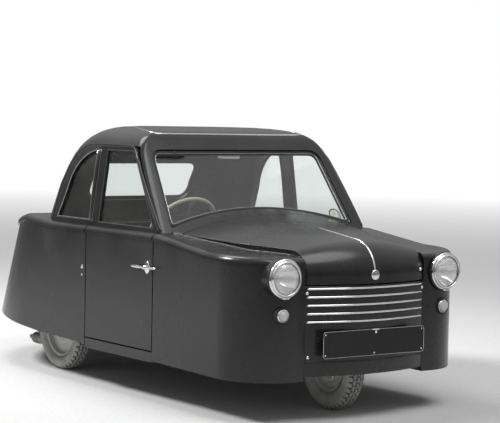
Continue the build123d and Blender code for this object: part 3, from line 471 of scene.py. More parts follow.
def new_piece(name, mesh, body, finish, *replaced):
    """Puts a mesh in the scene as one piece that rides on a body and stands for CAD nodes."""
    piece = bpy.data.objects.new(name, mesh)
    bpy.context.scene.collection.objects.link(piece)
    mesh.materials.clear()
    mesh.materials.append(MATERIALS[finish])
    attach(piece, body)
    if replaced:
        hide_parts(*replaced)
    return piece


def solid_piece(name, parts, body, finish, *replaced, sharp=None):
    """Makes one piece out of closed shapes."""
    return new_piece(name, solid_mesh(name, *parts, sharp=sharp), body, finish, *replaced)


def rounded_edges(piece, width, angle=30):
    """Live bevel on the edges that turn more than an angle; none where the width is nought."""
    if width:
        bevel = piece.modifiers.new("rounded edges", "BEVEL")
        bevel.width = width * MM
        bevel.segments = 2
        bevel.limit_method = "ANGLE"
        bevel.angle_limit = math.radians(angle)
        bevel.harden_normals = True
    return piece


def refined(node, name, finish, bevel=1.2, sharp=30):
    """Copy of a CAD node with welded corners, flat areas as single faces and rounded edges."""
    mesh = NODES[node].data.copy()
    bm = bmesh.new()
    bm.from_mesh(mesh)
    bmesh.ops.remove_doubles(bm, verts=bm.verts, dist=2e-5)
    bmesh.ops.dissolve_degenerate(bm, edges=bm.edges, dist=1e-5)
    bmesh.ops.dissolve_limit(bm, angle_limit=math.radians(0.5), verts=bm.verts, edges=bm.edges)
    bm.to_mesh(mesh)
    bm.free()
    if "custom_normal" in mesh.attributes:
        mesh.attributes.remove(mesh.attributes["custom_normal"])
    mesh.polygons.foreach_set("use_smooth", np.full(len(mesh.polygons), True))
    mesh.set_sharp_from_angle(angle=math.radians(sharp))
    return rounded_edges(new_piece(name, mesh, body_of(node), finish, node), bevel, sharp)


def baked_mesh(piece):
    """Mesh of a piece with its modifiers applied."""
    graph = bpy.context.evaluated_depsgraph_get()
    return bpy.data.meshes.new_from_object(piece.evaluated_get(graph), depsgraph=graph)


def corner_array(mesh):
    """Points of a mesh as an N x 3 array."""
    points = np.empty(len(mesh.vertices) * 3)
    mesh.vertices.foreach_get("co", points)
    return points.reshape(-1, 3)


# Materials

def linear(code):
    """sRGB hex value as linear red, green, blue and alpha."""
    c = np.array([int(code[i:i + 2], 16) for i in (0, 2, 4)]) / 255
    rgb = np.where(c <= 0.04045, c / 12.92, ((c + 0.055) / 1.055) ** 2.4)
    return (*rgb.tolist(), 1.0)


def toned(colour, factor):
    """A linear colour made lighter or darker by a factor."""
    return (*[min(1.0, factor * c) for c in colour[:3]], 1.0)


def add_node(tree, kind, inputs=None, **settings):
    """Adds a node, sets its settings, and sets or links its inputs."""
    made = tree.nodes.new(kind)
    for key, value in settings.items():
        setattr(made, key, value)
    for key, value in (inputs or {}).items():
        if isinstance(value, bpy.types.NodeSocket):
            tree.links.new(value, made.inputs[key])
        else:
            made.inputs[key].default_value = value
    return made


def blank(name):
    """Material with an empty tree, its output node and object coordinates."""
    material = bpy.data.materials.new(name)
    material.use_nodes = True
    tree = material.node_tree
    tree.nodes.clear()
    output = add_node(tree, "ShaderNodeOutputMaterial")
    place = add_node(tree, "ShaderNodeTexCoord").outputs["Object"]
    return material, tree, output, place


def finish_material(tree, output, shader):
    """Links a shader to the material's surface."""
    tree.links.new(shader.outputs[0], output.inputs["Surface"])


def grey(value):
    """Linear grey as red, green, blue and alpha."""
    return (value, value, value, 1.0)


def body_enamel(name, colour, dusty=0.058, gloss=(0.14, 0.26)):
    """Cellulose enamel, sprayed and hand polished: soft gloss, faint ripple, road dust low on the sides."""
    material, tree, output, place = blank(name)
    # tone drifts over hand widths, dust lies in specks of about 6 mm, ripple is about 8 mm wide
    cloud = add_node(tree, "ShaderNodeTexNoise", {"Vector": place, "Scale": 4.0,
                                                  "Detail": 6.0}).outputs["Fac"]
    speck = add_node(tree, "ShaderNodeTexNoise", {"Vector": place, "Scale": 160.0,
                                                  "Detail": 2.0}).outputs["Fac"]
    fine = add_node(tree, "ShaderNodeTexNoise", {"Vector": place, "Scale": 120.0,
                                                 "Detail": 1.0}).outputs["Fac"]
    height = add_node(tree, "ShaderNodeSeparateXYZ", {"Vector": place}).outputs["Z"]
    low = add_node(tree, "ShaderNodeMapRange", {"Value": height, "From Min": 0.20, "From Max": 0.95,
                                                "To Min": 1.0, "To Max": 0.6}, clamp=True).outputs[0]
    grain = add_node(tree, "ShaderNodeMapRange", {"Value": speck, "From Min": 0.35, "From Max": 0.72,
                                                  "To Min": 0.8, "To Max": 1.2}).outputs[0]
    patch = add_node(tree, "ShaderNodeMapRange", {"Value": cloud, "From Min": 0.3, "From Max": 0.7,
                                                  "To Min": 0.5 * dusty, "To Max": 1.3 * dusty}).outputs[0]
    dust = add_node(tree, "ShaderNodeMath", {0: low, 1: grain}, operation="MULTIPLY").outputs[0]
    dust = add_node(tree, "ShaderNodeMath", {0: dust, 1: patch}, operation="MULTIPLY").outputs[0]
    base = add_node(tree, "ShaderNodeMix", {0: cloud, 6: toned(colour, 0.7), 7: toned(colour, 1.3)},
                    data_type="RGBA").outputs[2]
    tint = add_node(tree, "ShaderNodeMix", {0: dust, 6: base, 7: linear("888887")},
                    data_type="RGBA").outputs[2]
    rough = add_node(tree, "ShaderNodeMapRange", {"Value": cloud, "From Min": 0.3, "From Max": 0.7,
                                                  "To Min": gloss[0], "To Max": gloss[1]}).outputs[0]
    rough = add_node(tree, "ShaderNodeMath", {0: rough, 1: dust}, operation="ADD").outputs[0]
    ripple = add_node(tree, "ShaderNodeBump", {"Height": fine, "Strength": 0.05,
                                               "Distance": 0.001}).outputs[0]
    shader = add_node(tree, "ShaderNodeBsdfPrincipled", {
        "Base Color": tint, "Roughness": rough, "Normal": ripple, "IOR": 1.42})
    finish_material(tree, output, shader)
    return material


def plated(name, colour, rough=(0.05, 0.16)):
    """Nickel and chromium plate, buffed: mirror bright with fine rub marks and a few dull patches."""
    material, tree, output, place = blank(name)
    patch = add_node(tree, "ShaderNodeTexNoise", {"Vector": place, "Scale": 38.0,
                                                  "Detail": 5.0}).outputs["Fac"]
    rub = add_node(tree, "ShaderNodeTexNoise", {"Vector": place, "Scale": 900.0,
                                                "Detail": 2.0}).outputs["Fac"]
    dull = add_node(tree, "ShaderNodeMapRange", {"Value": patch, "From Min": 0.35, "From Max": 0.75,
                                                 "To Min": rough[0], "To Max": rough[1]}).outputs[0]
    bump = add_node(tree, "ShaderNodeBump", {"Height": rub, "Strength": 0.03, "Distance": 0.0005}).outputs[0]
    base = add_node(tree, "ShaderNodeMix", {0: patch, 6: colour, 7: toned(colour, 0.86)},
                    data_type="RGBA").outputs[2]
    shader = add_node(tree, "ShaderNodeBsdfPrincipled", {
        "Base Color": base, "Metallic": 1.0, "Roughness": dull, "Normal": bump})
    finish_material(tree, output, shader)
    return material


def coarse_metal(name, colour, metallic, rough, grain=480.0, bump=0.25, spread=(0.7, 1.5)):
    """Rolled, cast or painted metal: uneven tone with grit about 2 mm apart and road film."""
    material, tree, output, place = blank(name)
    cloud = add_node(tree, "ShaderNodeTexNoise", {"Vector": place, "Scale": 9.0,
                                                  "Detail": 8.0}).outputs["Fac"]
    grit = add_node(tree, "ShaderNodeTexNoise", {"Vector": place, "Scale": grain,
                                                 "Detail": 4.0}).outputs["Fac"]
    base = add_node(tree, "ShaderNodeMix", {0: cloud, 6: toned(colour, spread[0]),
                                            7: toned(colour, spread[1])}, data_type="RGBA").outputs[2]
    dull = add_node(tree, "ShaderNodeMapRange", {"Value": cloud, "To Min": rough[0],
                                                 "To Max": rough[1]}).outputs[0]
    lumps = add_node(tree, "ShaderNodeBump", {"Height": grit, "Strength": bump,
                                              "Distance": 0.0008}).outputs[0]
    shader = add_node(tree, "ShaderNodeBsdfPrincipled", {
        "Base Color": base, "Metallic": metallic, "Roughness": dull, "Normal": lumps})
    finish_material(tree, output, shader)
    return material


def glazing(name, colour, mirror=0.75, film=0.02):
    """Laminated sheet glass: clear, brighter at a slant, with a thin film of dust like a pale haze."""
    material, tree, output, place = blank(name)
    cloud = add_node(tree, "ShaderNodeTexNoise", {"Vector": place, "Scale": 7.0,
                                                  "Detail": 6.0}).outputs["Fac"]
    haze = add_node(tree, "ShaderNodeMapRange", {"Value": cloud, "From Min": 0.3, "From Max": 0.8,
                                                 "To Min": 0.2 * film, "To Max": film}).outputs[0]
    slant = add_node(tree, "ShaderNodeLayerWeight", {"Blend": 0.5}).outputs["Facing"]
    slant = add_node(tree, "ShaderNodeMath", {0: slant, 1: 5.0}, operation="POWER").outputs[0]
    share = add_node(tree, "ShaderNodeMapRange", {"Value": slant, "To Min": 0.04,
                                                  "To Max": mirror}).outputs[0]
    shiny = add_node(tree, "ShaderNodeBsdfGlossy", {"Color": grey(1.0), "Roughness": 0.01})
    clear = add_node(tree, "ShaderNodeBsdfTransparent", {"Color": colour})
    pane = add_node(tree, "ShaderNodeMixShader", {0: share, 1: clear.outputs[0], 2: shiny.outputs[0]})
    dust = add_node(tree, "ShaderNodeBsdfDiffuse", {"Color": linear("C9C7C0")})
    whole = add_node(tree, "ShaderNodeMixShader", {0: haze, 1: pane.outputs[0], 2: dust.outputs[0]})
    finish_material(tree, output, whole)
    return material


def pressed_glass(name, colour, frosted=0.12, rough=0.05):
    """Pressed lamp glass: thick and clear, a little milky at its mould skin, with its flutes in the mesh."""
    material, tree, output, place = blank(name)
    cloud = add_node(tree, "ShaderNodeTexNoise", {"Vector": place, "Scale": 60.0,
                                                  "Detail": 3.0}).outputs["Fac"]
    bump = add_node(tree, "ShaderNodeBump", {"Height": cloud, "Strength": 0.05, "Distance": 0.001}).outputs[0]
    slant = add_node(tree, "ShaderNodeLayerWeight", {"Blend": 0.5, "Normal": bump}).outputs["Facing"]
    slant = add_node(tree, "ShaderNodeMath", {0: slant, 1: 4.0}, operation="POWER").outputs[0]
    share = add_node(tree, "ShaderNodeMapRange", {"Value": slant, "To Min": 0.06, "To Max": 0.8}).outputs[0]
    shiny = add_node(tree, "ShaderNodeBsdfGlossy", {"Color": grey(1.0), "Roughness": rough, "Normal": bump})
    clear = add_node(tree, "ShaderNodeBsdfTransparent", {"Color": colour})
    milky = add_node(tree, "ShaderNodeBsdfDiffuse", {"Color": toned(colour, 0.85), "Normal": bump})
    inner = add_node(tree, "ShaderNodeMixShader", {0: frosted, 1: clear.outputs[0], 2: milky.outputs[0]})
    whole = add_node(tree, "ShaderNodeMixShader", {0: share, 1: inner.outputs[0], 2: shiny.outputs[0]})
    finish_material(tree, output, whole)
    return material


def moulded_rubber(name, colour, dust_share=0.25, rough=0.78):
    """Vulcanised black rubber, moulded: matt, greyed by dust in patches about 70 mm wide."""
    material, tree, output, place = blank(name)
    cloud = add_node(tree, "ShaderNodeTexNoise", {"Vector": place, "Scale": 14.0,
                                                  "Detail": 8.0}).outputs["Fac"]
    pores = add_node(tree, "ShaderNodeTexNoise", {"Vector": place, "Scale": 320.0,
                                                  "Detail": 3.0}).outputs["Fac"]
    share = add_node(tree, "ShaderNodeMapRange", {"Value": cloud, "From Min": 0.3, "From Max": 0.7,
                                                  "To Min": 0.4 * dust_share,
                                                  "To Max": dust_share}).outputs[0]
    tint = add_node(tree, "ShaderNodeMix", {0: share, 6: colour, 7: linear("A9A8A5")},
                    data_type="RGBA").outputs[2]
    bump = add_node(tree, "ShaderNodeBump", {"Height": pores, "Strength": 0.2, "Distance": 0.0006}).outputs[0]
    shader = add_node(tree, "ShaderNodeBsdfPrincipled", {
        "Base Color": tint, "Roughness": rough, "Normal": bump, "IOR": 1.52})
    finish_material(tree, output, shader)
    return material


def tyre_rubber(name, colour):
    """Vulcanised rubber that has run on a dusty road: pale matt walls and blocks with road dust, and black
    grooves as painted shade.
    """
    material, tree, output, place = blank(name)
    cloud = add_node(tree, "ShaderNodeTexNoise", {"Vector": place, "Scale": 16.0,
                                                  "Detail": 8.0}).outputs["Fac"]
    pores = add_node(tree, "ShaderNodeTexNoise", {"Vector": place, "Scale": 320.0,
                                                  "Detail": 3.0}).outputs["Fac"]
    # dust weight: road dust on the blocks and walls, none in the grooves, which stay black as painted shade
    held = add_node(tree, "ShaderNodeAttribute", attribute_name="dust").outputs["Fac"]
    patch = add_node(tree, "ShaderNodeMapRange", {"Value": cloud, "From Min": 0.3, "From Max": 0.7,
                                                  "To Min": 0.62, "To Max": 0.96}).outputs[0]
    share = add_node(tree, "ShaderNodeMath", {0: held, 1: patch}, operation="MULTIPLY").outputs[0]
    tint = add_node(tree, "ShaderNodeMix", {0: share, 6: colour, 7: linear("BDBCB9")},
                    data_type="RGBA").outputs[2]
    bump = add_node(tree, "ShaderNodeBump", {"Height": pores, "Strength": 0.25,
                                             "Distance": 0.0006}).outputs[0]
    shader = add_node(tree, "ShaderNodeBsdfPrincipled", {
        "Base Color": tint, "Roughness": 0.86, "Normal": bump, "IOR": 1.52})
    finish_material(tree, output, shader)
    return material


def leathercloth(name, colour):
    """Pressed leathercloth: fine pebble grain about 1.6 mm, its tone varying at random in patches."""
    material, tree, output, place = blank(name)
    pebble = add_node(tree, "ShaderNodeTexVoronoi", {"Vector": place, "Scale": 620.0}).outputs["Distance"]
    cloud = add_node(tree, "ShaderNodeTexNoise", {"Vector": place, "Scale": 11.0,
                                                  "Detail": 6.0}).outputs["Fac"]
    base = add_node(tree, "ShaderNodeMix", {0: cloud, 6: toned(colour, 0.7), 7: toned(colour, 1.4)},
                    data_type="RGBA").outputs[2]
    rough = add_node(tree, "ShaderNodeMapRange", {"Value": cloud, "To Min": 0.42, "To Max": 0.62}).outputs[0]
    grain = add_node(tree, "ShaderNodeBump", {"Height": pebble, "Strength": 0.35,
                                              "Distance": 0.0008}).outputs[0]
    shader = add_node(tree, "ShaderNodeBsdfPrincipled", {
        "Base Color": base, "Roughness": rough, "Normal": grain, "IOR": 1.5})
    finish_material(tree, output, shader)
    return material


MATERIALS = {}


def make_materials(colours):
    """Fills the table of finishes from the panel's colours."""
    MATERIALS.update({
        "enamel": body_enamel("black_cellulose_enamel_polished", linear(colours.body)),
        "chassis": coarse_metal("black_stoved_enamel_steel", linear("1B1B1B"), 0.0, (0.45, 0.7)),
        "silver": coarse_metal("aluminium_paint_on_pressed_steel", linear(colours.wheels), 0.2, (0.32, 0.5),
                               240.0, 0.08, (0.8, 1.25)),
        "chrome": plated("chromium_plate_buffed", linear("DDDEE0")),
        "mirror": plated("silvered_reflector", linear("F4F4F4"), (0.02, 0.06)),
        "dull_steel": coarse_metal("mild_steel_sheet_weathered", linear("8C8B88"), 0.6, (0.40, 0.65)),
        "spring": coarse_metal("rolled_spring_steel_oiled", linear("3A3836"), 0.6, (0.35, 0.6)),
        "iron": coarse_metal("cast_iron_as_cast", linear("4A4946"), 0.5, (0.55, 0.8), 480.0, 0.6),
        "glass": glazing("laminated_sheet_glass", (0.95, 0.965, 0.96, 1.0)),
        "lamp_glass": pressed_glass("pressed_lamp_glass", grey(0.98), 0.26),
        "small_glass": pressed_glass("pressed_sidelamp_glass", grey(0.98), 0.5),
        "red_glass": pressed_glass("pressed_red_lamp_glass", linear("A01512"), 0.5),
        "rubber": moulded_rubber("extruded_black_rubber", linear("0D0D0D"), 0.02, 0.72),
        "tyre": tyre_rubber("vulcanised_tyre_rubber_dusty", linear("0C0C0C")),
        "cloth": leathercloth("pressed_leathercloth", linear(colours.seats)),
        "ivory": coarse_metal("cast_phenolic_ivory", linear("C9C1AC"), 0.0, (0.2, 0.35), 160.0, 0.02,
                              (0.9, 1.1)),
        "plate": body_enamel("stove_enamelled_aluminium_black", linear("050505"), 0.012, (0.40, 0.55)),
        "paper": coarse_metal("printed_card_white", linear("E4E1D6"), 0.0, (0.6, 0.7), 300.0, 0.02,
                              (0.95, 1.05)),
        "mat": moulded_rubber("ribbed_rubber_mat", linear("1E1D1C"), 0.3),
    })


# Sizes and colours shown in the panel

class CarBodySizes(bpy.types.PropertyGroup):
    """Sizes of the pieces made here, in metres."""
    edge_round: FloatProperty(name="Panel edge", description="Rounding of the pressed panels' edges",
                              default=0.0018, unit="LENGTH", min=0)
    strip_height: FloatProperty(name="Nose strip", description="Height of each bright strip on the nose",
                                default=0.0105, unit="LENGTH", min=0.002)
    plate_width: FloatProperty(name="Number plate", description="Width of the front number plate",
                               default=0.624, unit="LENGTH", min=0.3)
    gutter_height: FloatProperty(name="Gutter", description="Height of the drip moulding over the windows",
                                 default=0.009, unit="LENGTH", min=0.002)
    tread_depth: FloatProperty(name="Tread depth", description="Depth of the grooves in the tyres",
                               default=0.0075, unit="LENGTH", min=0)
    tread_pitch: IntProperty(name="Tread pitch", description="Number of zigzags round a tyre",
                             default=40, min=8)
    flutes: IntProperty(name="Lens flutes", description="Number of flutes across a headlamp glass",
                        default=26, min=0)
    pleats: IntProperty(name="Seat pleats", description="Number of sewn channels across the seat",
                        default=13, min=1)


class CarColours(bpy.types.PropertyGroup):
    """Colours as sRGB hex values."""
    body: StringProperty(name="Body", description="Body enamel, sRGB hex value", default="0E0E10")
    wheels: StringProperty(name="Wheels", description="Wheel paint, sRGB hex value", default="BDBDB8")
    seats: StringProperty(name="Seats", description="Leathercloth, sRGB hex value", default="4A2A24")


# The photograph's camera: place across, behind the front axle and up in metres; turn, tilt and roll in
# degrees; focal length and picture width in pixels; sensor width in millimetres
CAMERA_PLACE = (-5.4595, -6.8546, 1.4648)
CAMERA_ANGLES = (35.75, -3.225, 1.146)
FOCAL_PIXELS = 1784.5
PICTURE_PIXELS = 500.0
SENSOR_WIDTH = 36.0
# lamps: name, place, what it points at, size in metres, watts
STAGE_LAMPS = (
    ("key", (-4.9, 2.3, 6.0), (0.0, -0.2, 0.5), 1.8, 640.0),
    ("front", (0.6, -3.2, 5.2), (0.0, -1.0, 0.7), 3.6, 150.0),
    ("top", (-0.8, 1.6, 5.8), (0.0, 0.6, 0.8), 3.0, 150.0),
)
FLOOR_RINGS = (0.0001, 3.0, 8.0, 20.0, 60.0)


class CAR_OT_camera(bpy.types.Operator):
    """Camera at the photograph's place, angle and focal length"""
    bl_idname = "car.camera"
    bl_label = "Camera"

    def execute(self, context):
        yaw, pitch, roll = (math.radians(a) for a in CAMERA_ANGLES)
        ahead = Vector((math.sin(yaw) * math.cos(pitch), math.cos(yaw) * math.cos(pitch), math.sin(pitch)))
        right = Vector((math.cos(yaw), -math.sin(yaw), 0))
        up = right.cross(ahead)
        c, s = math.cos(roll), math.sin(roll)
        right, up = c * right + s * up, c * up - s * right
        data = bpy.data.cameras.new("photo_camera")
        data.sensor_fit = "HORIZONTAL"
        data.sensor_width = SENSOR_WIDTH
        data.lens = FOCAL_PIXELS * SENSOR_WIDTH / PICTURE_PIXELS
        data.clip_end = 200.0
        camera = bpy.data.objects.new("photo_camera", data)
        context.scene.collection.objects.link(camera)
        turn = Matrix((right, up, -ahead)).transposed().to_4x4()
        x, y, z = CAMERA_PLACE
        camera.matrix_world = Matrix.Translation((x, y + AXLE_Y, z)) @ turn
        context.scene.camera = camera
        return {"FINISHED"}


def stage_floor(scene):
    """Pale concrete floor, a disc as rings of radius times circle(angle), that fades to white far off."""
    steps = 96
    radius = np.array(FLOOR_RINGS)[:, None]
    angle = np.linspace(0, 2 * np.pi, steps, endpoint=False)[None, :]
    points = np.stack([radius * np.cos(angle), radius * np.sin(angle), 0 * radius * angle], axis=-1)
    mesh = bpy.data.meshes.new("floor")
    faces = grid_faces(len(FLOOR_RINGS), steps, False, True)[:, ::-1]
    mesh.from_pydata(points.reshape(-1, 3).tolist(), [], faces.tolist())
    floor = bpy.data.objects.new("floor", mesh)
    scene.collection.objects.link(floor)
    material, tree, output, place = blank("pale_concrete")
    grain = add_node(tree, "ShaderNodeTexNoise", {"Vector": place, "Scale": 40.0,
                                                  "Detail": 8.0}).outputs["Fac"]
    tone = add_node(tree, "ShaderNodeMix", {0: grain, 6: grey(0.60), 7: grey(0.74)},
                    data_type="RGBA").outputs[2]
    matt = add_node(tree, "ShaderNodeBsdfDiffuse", {"Color": tone, "Roughness": 0.6})
    white = add_node(tree, "ShaderNodeEmission", {"Color": grey(1.0), "Strength": 1.0})
    far = add_node(tree, "ShaderNodeVectorMath", {0: place}, operation="LENGTH").outputs["Value"]
    fade = add_node(tree, "ShaderNodeMapRange", {"Value": far, "From Min": 5.0,
                                                 "From Max": 22.0}).outputs[0]
    path = add_node(tree, "ShaderNodeLightPath")
    seen = add_node(tree, "ShaderNodeMath", {0: fade, 1: path.outputs["Is Camera Ray"]},
                    operation="MULTIPLY").outputs[0]
    shade = add_node(tree, "ShaderNodeMixShader", {0: seen, 1: matt.outputs[0], 2: white.outputs[0]})
    finish_material(tree, output, shade)
    floor.data.materials.append(material)


def stage_room(scene):
    """Even light from all round, white to the camera."""
    world = bpy.data.worlds.new("soft_room")
    scene.world = world
    world.use_nodes = True
    tree = world.node_tree
    tree.nodes.clear()
    path = add_node(tree, "ShaderNodeLightPath").outputs
    seen = add_node(tree, "ShaderNodeMath", {0: path["Is Camera Ray"], 1: path["Is Transmission Ray"]},
                    operation="MAXIMUM").outputs[0]
    # gloss sees a dimmer horizon and a bright ceiling, as in a studio with a soft box overhead
    up = add_node(tree, "ShaderNodeSeparateXYZ",
                  {"Vector": add_node(tree, "ShaderNodeTexCoord").outputs["Generated"]}).outputs["Z"]
    sky = add_node(tree, "ShaderNodeMapRange", {"Value": up, "From Min": 0.02, "From Max": 0.75,
                                                "To Min": 0.16, "To Max": 1.0}).outputs[0]
    dim = add_node(tree, "ShaderNodeBackground", {"Color": grey(1.0), "Strength": 0.24})
    shown = add_node(tree, "ShaderNodeBackground", {"Color": grey(1.0), "Strength": 1.0})
    gloss = add_node(tree, "ShaderNodeBackground", {"Color": grey(1.0), "Strength": sky})
    inner = add_node(tree, "ShaderNodeMixShader", {0: path["Is Glossy Ray"], 1: dim.outputs[0],
                                                   2: gloss.outputs[0]})
    whole = add_node(tree, "ShaderNodeMixShader", {0: seen, 1: inner.outputs[0], 2: shown.outputs[0]})
    output = add_node(tree, "ShaderNodeOutputWorld")
    tree.links.new(whole.outputs[0], output.inputs["Surface"])


class CAR_OT_stage(bpy.types.Operator):
    """Pale floor, soft lamps and a white background"""
    bl_idname = "car.stage"
    bl_label = "Stage"

    def execute(self, context):
        scene = context.scene
        scene.view_settings.view_transform = "Standard"
        stage_floor(scene)
        stage_room(scene)
        for name, place, aim, size, power in STAGE_LAMPS:
            data = bpy.data.lights.new(name, "AREA")
            data.shape = "DISK"
            data.size = size
            data.energy = power
            lamp = bpy.data.objects.new(name, data)
            scene.collection.objects.link(lamp)
            lamp.location = place
            lamp.rotation_euler = (Vector(place) - Vector(aim)).to_track_quat("Z", "Y").to_euler()
        return {"FINISHED"}


# Shapes of single pieces

def dome(centre, ahead, radius, height, steps=28):
    """Domed head on a face: along = -height * sin(t) and radius * cos(t), with a flat back 1 mm sunk."""
    t = np.linspace(0, np.pi / 2, 9)
    crown = np.stack([-height * np.sin(t), np.maximum(radius * np.cos(t), 0.01)], axis=-1)
    profile = np.concatenate([[(1.0, 0.01), (1.0, radius)], crown])
    centre = np.asarray(centre, float)
    return facing(turned(profile, steps, centre, "Y"), centre, ahead)


def stacked(loops):
    """Closed solid through loops of as many points each, both ends closed to their middles."""
    loops = np.asarray(loops, float)
    ends = np.broadcast_to(loops.mean(axis=1, keepdims=True), loops.shape)
    rows = np.concatenate([ends[:1], loops, ends[-1:]])
    n, m = rows.shape[:2]
    return rows.reshape(-1, 3), grid_faces(n, m, False, True)


def arc_through(a, b, c, count):
    """Points on the circle through a, b and c: its centre is as far from each; the angle runs from a to c."""
    a, b, c = (np.asarray(p, float) for p in (a, b, c))
    centre = np.linalg.solve(2 * np.stack([b - a, c - a]), np.array([b @ b - a @ a, c @ c - a @ a]))
    start, end = (math.atan2(*(p - centre)[::-1]) for p in (a, c))
    angle = np.linspace(start, end, count)
    return centre + np.linalg.norm(a - centre) * np.stack([np.cos(angle), np.sin(angle)], axis=-1)


def flat_plate(half, low, high, corner, face, lean=0.0, thick=2.5, rim=1.8):
    """Blank plate with a raised rim: loops of one rounded oblong, each set in and forward by its step.

    face(x, z) gives the y of the plate's back; lean turns the steps' direction up or down.
    """
    run = rounded([(-half, low), (half, low), (half, high), (-half, high)], corner, True, 9.0)
    steps = [(0.0, 0.0), (0.0, thick + rim - 0.6), (0.7, thick + rim), (2.6, thick + rim), (3.4, thick),
             (8.0, thick)]
    loops = []
    for inset, ahead in steps:
        x, z = set_in(run, inset).T
        loops.append(np.stack([x, face(x, z) - ahead * math.cos(lean), z + ahead * math.sin(lean)], axis=-1))
    return stacked(loops)


def window_trim(path, up, half, proud, sunk=2.0, closed=True):
    """Half-round strip along a window's edge."""
    return swept(path, half_round(half, proud, 9, sunk), up, closed)


QUARTER_ARC = arc_through((1537, 1032), (1432, 1190), (1300, WINDOW_TOP), 24)


def quarter_run(inset):
    """Quarter window's outline from the side: upright front, base, sloping rear and arched top."""
    corners = [(1282, WINDOW_TOP), (1264, 1227), (1264, QUARTER_LOW), (1616, QUARTER_LOW)]
    return set_in(evened(np.concatenate([corners, QUARTER_ARC]), 8.0, True), inset)


def door_run(inset):
    """Door window's outline from the side: front edge with the screen's lean, level top and base."""
    low, high, rear = DOOR_GLASS_LOW, WINDOW_TOP, 1176
    corners = [(screen_y(low) + 30, low), (rear, low), (rear, high), (screen_y(high) + 38, high)]
    return set_in(rounded(corners, (6.0, 6.0, 6.0, 34.0), True, 9.0), inset)


class CAR_OT_panels(bpy.types.Operator):
    """Pressed body panels and the parts under them, with rounded edges"""
    bl_idname = "car.panels"
    bl_label = "Body panels"

    def execute(self, context):
        edge = context.scene.car_sizes.edge_round / MM
        for node in ("front_wing_left", "front_wing_right", "door_left", "door_right", "roof", "rear_body",
                     "tail_lid", "side_hatches", "sills"):
            refined(node, f"{node}_panel", "enamel", edge, 28)
        refined("dashboard", "dashboard_panel", "enamel", 3.0)
        for node in ("floor_pan", "front_bulkhead", "rear_bulkhead", "seat_base", "chassis_frame",
                     "front_fork", "rear_axle"):
            refined(node, f"{node}_steel", "chassis")
        refined("steering_column", "steering_column_tube", "chassis", 0)
        refined("rear_springs", "rear_spring_leaves", "spring", 1.0)
        return {"FINISHED"}


def bonnet_side(rim, side):
    """Bonnet's turned-down side: a thin sheet from the skin's edge to 8 mm under the wing's top."""
    top = np.interp(rim[:, 1], *WING_TOP.T)
    rows = rim[:, 2] > top - 4
    x, y, z = (rim[rows, k:k + 1] for k in range(3))
    low = np.minimum(z - 10, top[rows, None] - 8)
    drop = np.linspace(0, 1, 4)[None, :]
    sheet = np.stack(np.broadcast_arrays(x - 0.4 * side, y, z - 1 + drop * (low - z + 1)), axis=-1)
    return shell(sheet, 2.5, (side, 0, 0))


class CAR_OT_nose(bpy.types.Operator):
    """Bonnet, scuttle and nose panels as smooth sheets, and the beads between them"""
    bl_idname = "car.nose"
    bl_label = "Bonnet and nose"

    def execute(self, context):
        edge = context.scene.car_sizes.edge_round / MM
        s = np.concatenate([np.linspace(0, 1, 5)[:-1], np.linspace(1, 2, 21)[:-1], np.linspace(2, 3, 15)[:-1],
                            np.linspace(3, 3.7, 12)])
        skin = nose_grid(s, lambda y: bonnet_edge(y) - BONNET_GAP, BONNET_LOW)
        parts = [shell(skin, SHEET, (0, 0, 1)), bonnet_side(skin[:, 0], -1), bonnet_side(skin[:, -1], 1)]
        rounded_edges(solid_piece("bonnet_skin", parts, "bonnet", "enamel", "bonnet"), edge + 0.8, 40)
        s = np.linspace(3.7136, 4.0, 7)
        skin = nose_grid(s, lambda y: np.minimum(bonnet_edge(y), SCUTTLE_HALF) - 0.3, BONNET_LOW)
        parts = [shell(skin, SHEET, (0, 0, 1))]
        rounded_edges(solid_piece("scuttle_skin", parts, "body", "enamel", "scuttle"), edge, 40)
        # valance and grille panel: x = t * 366.7, y on the nose face, z in level rows
        parts = []
        for low, high, rows in ((219.0, 285.0, 5), (288.0, 647.0, 13)):
            x = (NOSE_HALF - 0.3) * np.linspace(-1, 1, 49)[None, :]
            z = np.linspace(low, high, rows)[:, None]
            sheet = np.stack(np.broadcast_arrays(x, nose_face(x), z), axis=-1)
            parts.append(shell(sheet, SHEET, (0, -1, 0)))
        rounded_edges(solid_piece("nose_sheets", parts, "body", "enamel", "nose_panels"), edge + 0.8, 40)
        # beads: along each wing's inner edge, down the nose panel's sides, and the valance's turned lip
        y = np.arange(-205.0, 576.0, 15.0)
        wing = np.stack([bonnet_edge(y) + 3.2, y, np.interp(y, *WING_TOP.T) + 0.6], axis=-1)
        x = NOSE_HALF - 2.5
        z = np.linspace(219, 645, 30)
        side = np.stack(np.broadcast_arrays(x, nose_face(x) + 0.6, z), axis=-1)
        x = np.linspace(5 - NOSE_HALF, NOSE_HALF - 5, 60)
        lip = np.stack(np.broadcast_arrays(x, nose_face(x) + 0.6, 286.4), axis=-1)
        beads = [*both(swept(wing, half_round(3.2, 3.4), (0, -0.1, 1))),
                 *both(swept(side, half_round(2.6, 2.4), (0, -1, 0))),
                 swept(lip, half_round(3.1, 2.8, 10, 6.0), (0, -1, 0))]
        solid_piece("wing_beads", beads, "body", "enamel")
        return {"FINISHED"}


